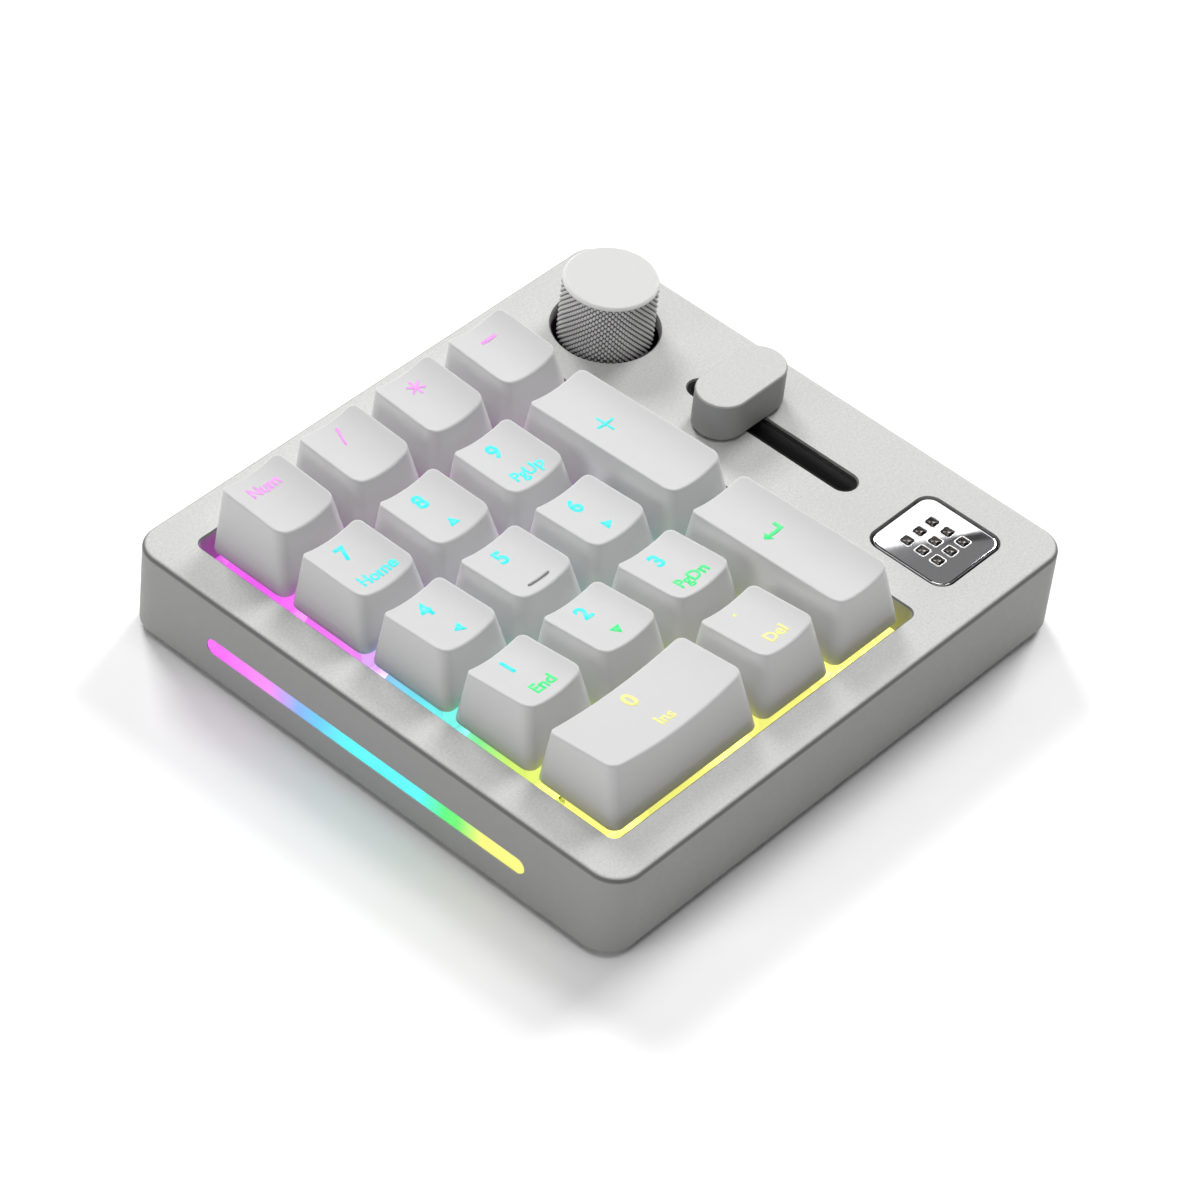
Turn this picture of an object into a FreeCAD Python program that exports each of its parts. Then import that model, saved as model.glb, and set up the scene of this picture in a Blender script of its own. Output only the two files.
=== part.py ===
"""Numeric keypad with a knurled rotary knob and a sliding fader, as an assembly of separate parts.

Frame: millimetres, +Z up, +X to the user's right, +Y away from the user. The origin is the middle of the
underside, on the plane of the rubber feet. Every moving part is at its rest position: keys up, knob up,
fader where it was left, mode switch in its middle position.
"""
import FreeCAD, Part
import math
import os

from FreeCAD import Vector

os.makedirs("parts", exist_ok=True)

# ---------------------------------------------------------------- driving dimensions
CASE_WIDTH = 121.4
CASE_DEPTH = 113.6
CASE_THICKNESS = 17.8
CASE_CORNER = 5.8
CASE_TOP_ROUND = 1.0
CASE_BOTTOM_ROUND = 0.8
WALL = 3.5
FOOT_PROUD = 1.2

KEY_PITCH = 19.05
KEY_SKIRT = 18.2
KEY_TRAVEL = 4.0
KEYBLOCK_X = -12.8
WELL_WIDTH = 79.2
WELL_DEPTH = 97.5
WELL_CORNER = 1.8

CONTROLS_X = 43.5
KNOB_Y = 38.7
KNOB_RADIUS = 9.0
KNOB_HOLE_RADIUS = 10.1
KNOB_HEIGHT_ABOVE_CASE = 11.6
KNOB_SUNK = 2.0
KNOB_PRESS = 0.5
SLOT_Y = -1.4
SLOT_LENGTH = 38.8
SLOT_WIDTH = 5.1
FADER_Y = 7.0
FADER_TRAVEL_UP = 6.6
FADER_TRAVEL_DOWN = 23.4
FADER_CAP_LENGTH = 20.3
FADER_CAP_WIDTH = 10.2
FADER_CAP_HEIGHT = 8.0
FADER_CAP_GAP = 0.5
BADGE_Y = -39.4
BADGE_SIZE = 18.0
BADGE_CORNER = 3.0
BADGE_THICKNESS = 1.3
LIGHT_BAR_LENGTH = 74.2
LIGHT_BAR_HEIGHT = 3.4
LIGHT_BAR_BELOW_TOP = 10.25
USB_X = -12.8
MODE_SWITCH_X = 12.0
MODE_SWITCH_TRAVEL = 2.0

# ---------------------------------------------------------------- heights that follow from them
CASE_BOTTOM = FOOT_PROUD
CASE_TOP = CASE_BOTTOM + CASE_THICKNESS
SKIRT_Z = CASE_TOP - 1.35
PLATE_TOP = SKIRT_Z - 6.45
PLATE_THICKNESS = 1.5
PLATE_BOTTOM = PLATE_TOP - PLATE_THICKNESS
BOARD_TOP = PLATE_TOP - 5.0
BOARD_THICKNESS = 1.6
BOARD_BOTTOM = BOARD_TOP - BOARD_THICKNESS
COVER_TOP = CASE_BOTTOM + 1.4
LEDGE_Z = PLATE_TOP + 0.8
CEILING_Z = CASE_TOP - 2.5
LIGHT_BAR_Z = CASE_TOP - LIGHT_BAR_BELOW_TOP
HALF_WIDTH = CASE_WIDTH / 2
HALF_DEPTH = CASE_DEPTH / 2
CAVITY_X = HALF_WIDTH - WALL
CAVITY_Y = HALF_DEPTH - WALL
WELL_LEFT = KEYBLOCK_X - WELL_WIDTH / 2
WELL_RIGHT = KEYBLOCK_X + WELL_WIDTH / 2
COLUMN_WALL = 3.2

# Keys: name, column and row of the centre, width and depth in key units, height row.
KEYS = [
    ("num", 0, 0, 1, 1, 0),
    ("divide", 1, 0, 1, 1, 0),
    ("multiply", 2, 0, 1, 1, 0),
    ("minus", 3, 0, 1, 1, 0),
    ("seven", 0, 1, 1, 1, 1),
    ("eight", 1, 1, 1, 1, 1),
    ("nine", 2, 1, 1, 1, 1),
    ("plus", 3, 1.5, 1, 2, 4),
    ("four", 0, 2, 1, 1, 2),
    ("five", 1, 2, 1, 1, 2),
    ("six", 2, 2, 1, 1, 2),
    ("one", 0, 3, 1, 1, 3),
    ("two", 1, 3, 1, 1, 3),
    ("three", 2, 3, 1, 1, 3),
    ("enter", 3, 3.5, 1, 2, 4),
    ("zero", 0.5, 4, 2, 1, 3),
    ("decimal", 2, 4, 1, 1, 3),
]
# Height of each row's top face above the case, at its front and its back edge.
ROW_TOPS = [(10.5, 11.4), (9.05, 9.15), (9.7, 8.85), (10.5, 8.85), (11.0, 9.85)]
# How far each row's top face stands in from the skirt, at its front and its back. The far row leans back.
ROW_INSETS = [(4.0, -0.25), (3.95, 0.05), (3.85, 0.25), (3.7, 0.4), (3.05, 0.8)]
TOP_SIDE_INSET = {1: 2.1, 2: 1.85}
SCOOP_DEPTH = {1: 1.25, 2: 1.7}
CAP_WALL = 1.5
HOMING_KEY = "five"
HOMING_BAR_LENGTH = 5.2
HOMING_BAR_INSET = 1.8

# ---------------------------------------------------------------- shape helpers


def block(x0, x1, y0, y1, z0, z1):
    """A box between two corners."""
    return Part.makeBox(x1 - x0, y1 - y0, z1 - z0, Vector(x0, y0, z0))


def post(x, y, radius, z0, z1):
    """An upright cylinder."""
    return Part.makeCylinder(radius, z1 - z0, Vector(x, y, z0), Vector(0, 0, 1))


def rounded_wire(width, depth, corner, z=0.0, x=0.0, y=0.0):
    """A rectangle with round corners, centred on x, y, as a closed wire in the plane at z."""
    half_w, half_d = width / 2, depth / 2
    reach = corner * math.sqrt(0.5)
    edges = []
    for turn in range(4):
        cos_t, sin_t = round(math.cos(turn * math.pi / 2)), round(math.sin(turn * math.pi / 2))
        a, b = (half_w, half_d) if turn % 2 == 0 else (half_d, half_w)

        def place(u, v):
            return Vector(x + u * cos_t - v * sin_t, y + u * sin_t + v * cos_t, z)

        start = place(a, b - corner)
        middle = place(a - corner + reach, b - corner + reach)
        end = place(a - corner, b)
        if 2 * corner < 2 * b - 1e-6:
            edges.append(Part.LineSegment(place(a, corner - b), start).toShape())
        edges.append(Part.Arc(start, middle, end).toShape())
    return Part.Wire(edges)


def rounded_block(width, depth, corner, z0, z1, x=0.0, y=0.0):
    """An upright prism on a rectangle with round corners."""
    return Part.Face(rounded_wire(width, depth, corner, z0, x, y)).extrude(Vector(0, 0, z1 - z0))


def flare(width, depth, corner, grow, z0, z1, x=0.0, y=0.0):
    """A rim chamfer cutter: a rounded rectangle at z0 that is larger by grow all round at z1."""
    low = rounded_wire(width, depth, corner, z0, x, y)
    high = rounded_wire(width + 2 * grow, depth + 2 * grow, corner + grow, z1, x, y)
    return Part.makeLoft([low, high], True, True)


def fuse(shapes):
    """One solid from shapes that overlap or share faces."""
    first = shapes[0]
    return first.fuse(shapes[1:]).removeSplitter() if len(shapes) > 1 else first


def moved(shape, x=0.0, y=0.0, z=0.0, turn=0.0):
    """A copy turned about the vertical through the origin, then moved."""
    copy = shape.copy()
    if turn:
        copy.rotate(Vector(0, 0, 0), Vector(0, 0, 1), turn)
    copy.translate(Vector(x, y, z))
    return copy


def save(name, shapes):
    """Writes one node. A list is a group of separate solids."""
    solids = []
    for shape in shapes if isinstance(shapes, list) else [shapes]:
        solids += shape.Solids
    for solid in solids:
        if not solid.isValid() or solid.Volume <= 0:
            raise ValueError(f"{name} has a bad solid")
    result = solids[0] if len(solids) == 1 else Part.makeCompound(solids)
    result.exportStep(f"parts/{name}.step")
    print(f"{name}: {len(solids)} solid(s), {sum(s.Volume for s in solids):.1f} mm3")


def key_centre(column, row):
    """Centre of a key in the frame, from its column and row."""
    return KEYBLOCK_X + (column - 1.5) * KEY_PITCH, (2 - row) * KEY_PITCH


# ---------------------------------------------------------------- case
# Screws of the bottom cover: the four corners and one each side of the keys on the controls' side.
SCREW_POINTS = [(-54.0, -50.0), (-54.0, 50.0), (31.0, -50.0), (31.0, 50.0), (54.0, -50.0), (54.0, 50.0)]
BOSS_RADIUS = 2.8
SCREW_RADIUS = 1.2
SCREW_HEAD_RADIUS = 2.2
SOCKET_RADIUS = 0.87
# Tabs of the switch plate that the gaskets hold: centre, size along X, size along Y.
TABS = [
    (-54.9, -42.9, 3.0, 6.6), (-54.9, 42.9, 3.0, 6.6), (29.4, -24.0, 3.2, 10.0), (29.4, 24.0, 3.2, 10.0),
    (-38.0, -51.2, 12.0, 2.9), (-38.0, 51.2, 12.0, 2.9), (12.5, -51.2, 12.0, 2.9), (24.5, 51.2, 5.0, 2.9),
]
RIM_CHAMFER = 0.3


def top_case():
    """The machined upper case: a thick frame round the key well, with pockets below it."""
    body = rounded_block(CASE_WIDTH, CASE_DEPTH, CASE_CORNER, CASE_BOTTOM, CASE_TOP)
    top_edges = [e for e in body.Edges if min(v.Z for v in e.Vertexes) > CASE_TOP - 0.01]
    body = body.makeFillet(CASE_TOP_ROUND, top_edges)
    low_edges = [e for e in body.Edges if max(v.Z for v in e.Vertexes) < CASE_BOTTOM + 0.01]
    body = body.makeFillet(CASE_BOTTOM_ROUND, low_edges)

    cuts = [
        rounded_block(2 * CAVITY_X, 2 * CAVITY_Y, 3.0, CASE_BOTTOM - 1, LEDGE_Z),
        rounded_block(WELL_WIDTH, WELL_DEPTH, WELL_CORNER, LEDGE_Z - 1, CASE_TOP + 1, KEYBLOCK_X),
        flare(WELL_WIDTH, WELL_DEPTH, WELL_CORNER, RIM_CHAMFER, CASE_TOP - RIM_CHAMFER, CASE_TOP,
              KEYBLOCK_X),
    ]
    column_left = WELL_RIGHT + COLUMN_WALL
    column_width = CAVITY_X - column_left
    column_x = column_left + column_width / 2
    cuts.append(rounded_block(column_width, 2 * CAVITY_Y, 2.0, LEDGE_Z - 1, CEILING_Z, column_x))

    hole = 2 * KNOB_HOLE_RADIUS
    cuts.append(post(CONTROLS_X, KNOB_Y, KNOB_HOLE_RADIUS, CEILING_Z - 1, CASE_TOP + 1))
    cuts.append(Part.makeCone(hole / 2, hole / 2 + RIM_CHAMFER, RIM_CHAMFER,
                              Vector(CONTROLS_X, KNOB_Y, CASE_TOP - RIM_CHAMFER)))
    slot_round = SLOT_WIDTH / 2 - 0.001
    cuts.append(rounded_block(SLOT_WIDTH, SLOT_LENGTH, slot_round, CEILING_Z - 1, CASE_TOP + 1,
                              CONTROLS_X, SLOT_Y))
    cuts.append(flare(SLOT_WIDTH, SLOT_LENGTH, slot_round, 0.25, CASE_TOP - 0.25, CASE_TOP,
                      CONTROLS_X, SLOT_Y))
    pocket = BADGE_SIZE + 0.4
    pocket_floor = CASE_TOP - BADGE_THICKNESS - 0.1
    cuts.append(rounded_block(pocket, pocket, BADGE_CORNER + 0.2, pocket_floor, CASE_TOP + 1,
                              CONTROLS_X, BADGE_Y))
    cuts += [light_bar_slot(side) for side in (-1, 1)]

    usb_cut = rounded_block(9.8, 4.1, 2.04, 0, WALL + 2)
    usb_cut.rotate(Vector(0, 0, 0), Vector(1, 0, 0), 90)
    usb_cut.translate(Vector(USB_X, HALF_DEPTH + 1, USB_Z))
    cuts.append(usb_cut)
    reach = MODE_SWITCH_TRAVEL + LEVER_WIDTH / 2 + 0.4
    cuts.append(block(MODE_SWITCH_X - reach, MODE_SWITCH_X + reach, CAVITY_Y - 1, HALF_DEPTH + 1,
                      LEVER_Z - 1.2, LEVER_Z + 1.2))
    body = body.cut(cuts)

    bosses = [post(x, y, BOSS_RADIUS, COVER_TOP, CEILING_Z if x > WELL_RIGHT else LEDGE_Z)
              for x, y in SCREW_POINTS]
    body = fuse([body] + bosses)
    holes = [post(x, y, SCREW_RADIUS + 0.05, COVER_TOP - 0.5, COVER_TOP + 7.4) for x, y in SCREW_POINTS]
    return body.cut(holes)


def light_bar_slot(side):
    """The stadium slot through one side wall, side -1 on the left and 1 on the right."""
    slot = rounded_block(LIGHT_BAR_HEIGHT, LIGHT_BAR_LENGTH, LIGHT_BAR_HEIGHT / 2 - 0.001, 0, WALL + 2)
    slot.rotate(Vector(0, 0, 0), Vector(0, 1, 0), 90)
    slot.translate(Vector(-HALF_WIDTH - 1 if side < 0 else CAVITY_X - 1, 0, LIGHT_BAR_Z))
    return slot


def light_bars():
    """Two diffuser bars. Each fills its slot, with a flange that is bonded behind the wall."""
    bars = []
    for side in (-1, 1):
        height = LIGHT_BAR_HEIGHT - 0.1
        bar = rounded_block(height, LIGHT_BAR_LENGTH - 0.1, height / 2 - 0.001, 0, WALL - 0.1)
        flange = rounded_block(4.9, LIGHT_BAR_LENGTH + 3, 1.0, -1.1, 0)
        bar = fuse([bar, flange])
        bar.rotate(Vector(0, 0, 0), Vector(0, 1, 0), 90)
        bar.translate(Vector(CAVITY_X - 0.01, 0, LIGHT_BAR_Z))
        if side < 0:
            bar.rotate(Vector(0, 0, 0), Vector(0, 0, 1), 180)
        bars.append(bar)
    return bars


FOOT_POINTS = [(-43.0, -40.5), (43.0, -40.5), (-43.0, 40.5), (43.0, 40.5)]
FOOT_LENGTH = 22.0
FOOT_WIDTH = 7.0
FOOT_SUNK = 0.6


def bottom_cover():
    """The plate that closes the case from below. Its posts carry the lower gaskets and the board."""
    cover = rounded_block(2 * CAVITY_X - 0.3, 2 * CAVITY_Y - 0.3, 2.85, CASE_BOTTOM, COVER_TOP)
    posts = [block(x - w / 2 + 0.4, x + w / 2 - 0.4, y - d / 2 + 0.4, y + d / 2 - 0.4,
                   COVER_TOP - 0.2, PLATE_BOTTOM - 0.8) for x, y, w, d in TABS]
    posts += [post(50.5, y, 2.0, COVER_TOP - 0.2, BOARD_BOTTOM) for y in (-15.0, 20.0)]
    cover = fuse([cover] + posts)
    cuts = [rounded_block(FOOT_LENGTH + 0.2, FOOT_WIDTH + 0.2, FOOT_WIDTH / 2, CASE_BOTTOM - 1,
                          CASE_BOTTOM + FOOT_SUNK, x, y) for x, y in FOOT_POINTS]
    head_radius, hole_radius = SCREW_HEAD_RADIUS + 0.1, SCREW_RADIUS + 0.1
    for x, y in SCREW_POINTS:
        cuts.append(post(x, y, hole_radius, CASE_BOTTOM - 1, COVER_TOP + 1))
        cuts.append(Part.makeCone(head_radius, hole_radius, 1.1, Vector(x, y, CASE_BOTTOM)))
    return cover.cut(cuts)


def cover_screws():
    """Countersunk machine screws with a hexagon socket."""
    screws = []
    for x, y in SCREW_POINTS:
        head = Part.makeCone(SCREW_HEAD_RADIUS, SCREW_RADIUS, 1.0, Vector(x, y, CASE_BOTTOM + 0.05))
        shank = post(x, y, SCREW_RADIUS, CASE_BOTTOM + 0.9, COVER_TOP + 6.4)
        angles = [k * math.pi / 3 for k in range(7)]
        points = [Vector(x + SOCKET_RADIUS * math.cos(a), y + SOCKET_RADIUS * math.sin(a), CASE_BOTTOM)
                  for a in angles]
        socket = Part.Face(Part.makePolygon(points)).extrude(Vector(0, 0, 0.8))
        screws.append(fuse([head, shank]).cut(socket))
    return screws


def rubber_feet():
    """Four long pads set into the bottom cover."""
    corner = FOOT_WIDTH / 2 - 0.001
    return [rounded_block(FOOT_LENGTH, FOOT_WIDTH, corner, 0, CASE_BOTTOM + FOOT_SUNK, x, y)
            for x, y in FOOT_POINTS]


def badge():
    """The polished plate set flush in the case, with a plain engraved grid of nine rounded squares."""
    plate = rounded_block(BADGE_SIZE, BADGE_SIZE, BADGE_CORNER, CASE_TOP - BADGE_THICKNESS - 0.1,
                          CASE_TOP - 0.1, CONTROLS_X, BADGE_Y)
    marks = [rounded_block(2.2, 2.2, 0.6, CASE_TOP - 0.5, CASE_TOP + 1,
                           CONTROLS_X + 3.4 * column, BADGE_Y + 3.4 * row)
             for column in (-1, 0, 1) for row in (-1, 0, 1)]
    return plate.cut(marks)


# ---------------------------------------------------------------- plate, foam and board
SWITCH_HOLE = 14.0
# Stabilisers: distance of each one from the key's centre, and where the wire turns.
STAB_OFFSET = 11.94
WIRE_RADIUS = 0.7
WIRE_PIVOT_Y = 8.4
WIRE_PIVOT_Z = PLATE_TOP - 2.6
WIRE_REST_RISE = 4.0
USB_Z = BOARD_TOP + 1.63
LEVER_WIDTH = 2.4
LEVER_Z = BOARD_TOP + 2.0


def wide_keys():
    """The three double keys: name, centre, and the turn that takes their length to +X."""
    for name, column, row, units_wide, units_deep, _ in KEYS:
        if units_wide * units_deep == 2:
            x, y = key_centre(column, row)
            yield name, x, y, 0.0 if units_wide == 2 else -90.0


def at_each_switch(shape):
    """Copies of a shape, one under each key."""
    return [moved(shape, *key_centre(key[1], key[2])) for key in KEYS]


def at_each_stabiliser(shape):
    """Copies of a shape, two for each double key. The shape's +Y side is the wire's side."""
    copies = []
    for _, x, y, turn in wide_keys():
        for side in (-1, 1):
            copies.append(moved(moved(shape, side * STAB_OFFSET), x, y, 0, turn))
    return copies


def switch_plate():
    """The frosted plate that holds the switches, with tabs for the gaskets."""
    plate = rounded_block(WELL_WIDTH + 2, WELL_DEPTH + 2, 2.0, PLATE_BOTTOM, PLATE_TOP, KEYBLOCK_X)
    tabs = [block(x - w / 2 - 0.3, x + w / 2 + 0.3, y - d / 2 - 0.3, y + d / 2 + 0.3,
                  PLATE_BOTTOM, PLATE_TOP) for x, y, w, d in TABS]
    plate = fuse([plate] + tabs)
    hole = block(-SWITCH_HOLE / 2, SWITCH_HOLE / 2, -SWITCH_HOLE / 2, SWITCH_HOLE / 2,
                 PLATE_BOTTOM - 1, PLATE_TOP + 1)
    stab_hole = block(-3.5, 3.5, -4.6, 7.9, PLATE_BOTTOM - 1, PLATE_TOP + 1)
    corners = [post(x, y, BOSS_RADIUS + 0.6, PLATE_BOTTOM - 1, PLATE_TOP + 1) for x, y in SCREW_POINTS]
    return plate.cut(at_each_switch(hole) + at_each_stabiliser(stab_hole) + corners)


def foam_sheet(z0, z1, window):
    """A sheet of foam with a window under each key, and one for each stabiliser with its wire."""
    sheet = rounded_block(77.0, 90.4, 2.0, z0, z1, KEYBLOCK_X + 0.3)
    hole = block(-window / 2, window / 2, -window / 2, window / 2, z0 - 1, z1 + 1)
    stab_hole = block(-4.0, 4.0, -5.0, 10.2, z0 - 1, z1 + 1)
    reach = STAB_OFFSET + 3
    wire_hole = block(-reach, reach, WIRE_PIVOT_Y - 1.2, WIRE_PIVOT_Y + 1.2, z0 - 1, z1 + 1)
    cuts = at_each_switch(hole) + at_each_stabiliser(stab_hole)
    cuts += [moved(wire_hole, x, y, 0, turn) for _, x, y, turn in wide_keys()]
    return sheet.cut(cuts)


def foam_and_gaskets():
    """The foam under the plate and the board, and the gasket strips on both sides of each tab."""
    parts = [foam_sheet(BOARD_TOP + 0.1, PLATE_BOTTOM - 0.1, 14.6),
             foam_sheet(COVER_TOP + 0.05, BOARD_BOTTOM - 0.05, 15.6)]
    for x, y, w, d in TABS:
        left, right, front, back = x - w / 2 + 0.2, x + w / 2 - 0.2, y - d / 2 + 0.2, y + d / 2 - 0.2
        parts.append(block(left, right, front, back, PLATE_BOTTOM - 0.8, PLATE_BOTTOM))
        if x < WELL_LEFT:
            right = WELL_LEFT - 0.2
        elif x > WELL_RIGHT:
            left = max(left, WELL_RIGHT + 0.2)
            right = min(right, WELL_RIGHT + COLUMN_WALL)
        elif y > 0:
            front = WELL_DEPTH / 2 + 0.2
        else:
            back = -WELL_DEPTH / 2 - 0.2
        parts.append(block(left, right, front, back, PLATE_TOP, LEDGE_Z))
    return parts


def circuit_board():
    """The board with the parts soldered to it: key sockets, lights, chips, connectors, mode switch body."""
    right_edge = 55.0
    left_edge = WELL_LEFT - 1.0
    board = rounded_block(right_edge - left_edge, 100.0, 2.0, BOARD_BOTTOM, BOARD_TOP,
                          (left_edge + right_edge) / 2)
    pin_hole = post(0, 0, 2.05, BOARD_BOTTOM - 1, BOARD_TOP + 1)
    contact_holes = [post(-3.81, 2.54, 1.5, BOARD_BOTTOM - 1, BOARD_TOP + 1),
                     post(2.54, 5.08, 1.5, BOARD_BOTTOM - 1, BOARD_TOP + 1)]
    light_hole = block(-1.8, 1.8, -6.6, -3.4, BOARD_BOTTOM - 1, BOARD_TOP + 1)
    cuts = [c for cutter in [pin_hole, light_hole] + contact_holes for c in at_each_switch(cutter)]
    cuts += [post(x, y, BOSS_RADIUS + 0.6, BOARD_BOTTOM - 1, BOARD_TOP + 1) for x, y in SCREW_POINTS]
    for x, y, w, d in TABS:
        if x > left_edge:
            cuts.append(block(x - w / 2 - 0.1, x + w / 2 + 0.1, y - d / 2 - 0.1, y + d / 2 + 0.1,
                              BOARD_BOTTOM - 1, BOARD_TOP + 1))
        else:
            cuts.append(block(x - w / 2, x + w / 2 + 0.6, y - d / 2, y + d / 2,
                              BOARD_BOTTOM - 1, BOARD_TOP + 1))
    board = board.cut(cuts)

    outline = [(-6.4, 0.6), (-1.2, 0.6), (0.2, 2.9), (5.1, 2.9), (5.1, 7.2), (-1.4, 7.2), (-3.6, 4.9),
               (-6.4, 4.9), (-6.4, 0.6)]
    socket = Part.Face(Part.makePolygon([Vector(u, v, 0) for u, v in outline])).extrude(Vector(0, 0, 1.8))
    socket.translate(Vector(0, 0, BOARD_BOTTOM - 1.8))
    socket = socket.cut(post(0, 0, 2.3, BOARD_BOTTOM - 3, BOARD_BOTTOM))
    light = block(-1.6, 1.6, -6.4, -3.6, BOARD_TOP - 1.5, BOARD_TOP - 0.2)
    parts = [board] + at_each_switch(socket) + at_each_switch(light)

    for number in range(6):
        y = -31.0 + 12.4 * number
        side_light = block(0, 1.5, y - 1.5, y + 1.5, BOARD_TOP, BOARD_TOP + 1.3)
        parts.append(moved(side_light, left_edge + 0.1))
        parts.append(moved(side_light, right_edge - 1.6))
    parts.append(block(30.5, 37.0, 4.0, 10.5, BOARD_TOP, BOARD_TOP + 0.9))
    parts.append(block(31.0, 35.0, -10.0, -6.0, BOARD_TOP, BOARD_TOP + 0.9))
    connector = block(32.0, 38.0, -24.0, -19.4, BOARD_TOP, BOARD_TOP + 4.2)
    parts.append(connector.cut(block(32.8, 37.2, -24.5, -20.4, BOARD_TOP + 0.8, BOARD_TOP + 3.4)))
    switch_body = block(MODE_SWITCH_X - 4.6, MODE_SWITCH_X + 4.6, 45.6, 49.8, BOARD_TOP, BOARD_TOP + 3.3)
    reach = MODE_SWITCH_TRAVEL + 1.6
    parts.append(switch_body.cut(block(MODE_SWITCH_X - reach, MODE_SWITCH_X + reach, 46.6, 50.5,
                                       LEVER_Z - 0.7, LEVER_Z + 0.7)))
    return parts


def mode_switch_lever():
    """The rear lever: a thin blade in the switch body and a wider thumb grip in the case slot."""
    blade = block(MODE_SWITCH_X - 1.4, MODE_SWITCH_X + 1.4, 47.2, 54.0, LEVER_Z - 0.6, LEVER_Z + 0.6)
    left, right = MODE_SWITCH_X - LEVER_WIDTH / 2, MODE_SWITCH_X + LEVER_WIDTH / 2
    grip = block(left, right, 53.9, HALF_DEPTH - 0.3, LEVER_Z - 1.1, LEVER_Z + 1.1)
    grooves = [block(MODE_SWITCH_X + k * 0.7 - 0.12, MODE_SWITCH_X + k * 0.7 + 0.12, HALF_DEPTH - 0.55,
                     HALF_DEPTH, LEVER_Z - 1.2, LEVER_Z + 1.2) for k in (-1, 0, 1)]
    return fuse([blade, grip]).cut(grooves)


def usb_c_port():
    """The receptacle: a thin stadium shell with a contact tongue on an insulator block."""
    length, width, height, skin = 7.4, 8.94, 3.2, 0.3
    shell = rounded_block(width, height, height / 2 - 0.001, 0, length)
    inner = rounded_block(width - 2 * skin, height - 2 * skin, height / 2 - skin - 0.001, -1, length - 1.6)
    tongue = block(-3.3, 3.3, -0.35, 0.35, 0.9, length - 1.0)
    port = fuse([shell.cut(inner), tongue])
    port.rotate(Vector(0, 0, 0), Vector(1, 0, 0), 90)
    port.translate(Vector(USB_X, HALF_DEPTH - 0.4, USB_Z))
    return port


def battery():
    """A flat rechargeable cell with its taped end."""
    cell = rounded_block(20.4, 19.2, 1.5, BOARD_TOP + 0.3, BOARD_TOP + 9.0, 42.8, -37.2)
    tape = block(35.0, 50.6, -27.7, -25.6, BOARD_TOP + 0.3, BOARD_TOP + 7.6)
    return fuse([cell, tape])


# ---------------------------------------------------------------- key switches
CROSS_LONG = 4.0
CROSS_X_THICK = 1.25
CROSS_Y_THICK = 1.1
CROSS_GAP = 0.05
STEM_TOP = PLATE_TOP + 10.2
HOUSING_TOP = PLATE_TOP + 6.6
POCKET_FLOOR = PLATE_TOP - 3.6
STEM_FOOT = PLATE_TOP + 0.5
SPRING_ROOF = PLATE_TOP + 4.6
SPRING_RADIUS = 2.0
SPRING_WIRE_RADIUS = 0.18
SPRING_TURNS = 7


def cross(long, x_thick, y_thick, z0, z1):
    """The plus-shaped post on a stem, or with more size the cutter for its socket."""
    return block(-long / 2, long / 2, -y_thick / 2, y_thick / 2, z0, z1).fuse(
        block(-x_thick / 2, x_thick / 2, -long / 2, long / 2, z0, z1)).removeSplitter()


def lower_housing():
    """The lower half of a switch: clip-in box, flange on the plate, and hollow centre pin."""
    half = SWITCH_HOLE / 2 - 0.05
    box = block(-half, half, -half, half, BOARD_TOP, PLATE_TOP)
    flange = block(-7.8, 7.8, -7.8, 7.8, PLATE_TOP, PLATE_TOP + 1.0)
    pin = post(0, 0, 1.95, PLATE_TOP - 8.2, BOARD_TOP)
    pocket = block(-5.8, 5.8, -5.8, 5.8, POCKET_FLOOR, PLATE_TOP + 2)
    guide = post(0, 0, 1.55, POCKET_FLOOR, PLATE_TOP - 2.0)
    bore = post(0, 0, 1.0, PLATE_TOP - 7.0, PLATE_TOP)
    return fuse([fuse([box, flange, pin]).cut(pocket), guide]).cut(bore)


def upper_housing():
    """The upper half: a tapered cover with the opening that the stem slides in."""

    corners = ((-1, -1), (1, -1), (1, 1), (-1, 1), (-1, -1))

    def frustum(low_w, low_d, high_w, high_d, z0, z1):
        wires = []
        for w, d, z in ((low_w, low_d, z0), (high_w, high_d, z1)):
            wires.append(Part.makePolygon([Vector(s * w / 2, t * d / 2, z) for s, t in corners]))
        return Part.makeLoft(wires, True, True)

    outer = frustum(14.6, 14.6, 12.4, 10.8, PLATE_TOP + 1.0, HOUSING_TOP)
    inner = frustum(12.6, 12.6, 10.6, 8.8, PLATE_TOP + 1.0, HOUSING_TOP - 1.2)
    return outer.cut([inner, block(-3.7, 3.7, -3.0, 3.0, HOUSING_TOP - 2, HOUSING_TOP + 1)])


def stem():
    """The sliding stem: cross post, shoulder, skirt and the pin that the spring goes round."""
    post_part = cross(CROSS_LONG, CROSS_X_THICK, CROSS_Y_THICK, HOUSING_TOP - 0.1, STEM_TOP)
    shoulder = block(-3.5, 3.5, -2.8, 2.8, STEM_FOOT, HOUSING_TOP)
    skirt = block(-5.0, 5.0, -2.4, 2.4, STEM_FOOT, HOUSING_TOP - 1.5)
    body = fuse([post_part, shoulder, skirt]).cut(post(0, 0, 2.45, STEM_FOOT - 1, SPRING_ROOF))
    return fuse([body, post(0, 0, 0.9, PLATE_TOP - 2.6, SPRING_ROOF + 0.2)])


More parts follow.
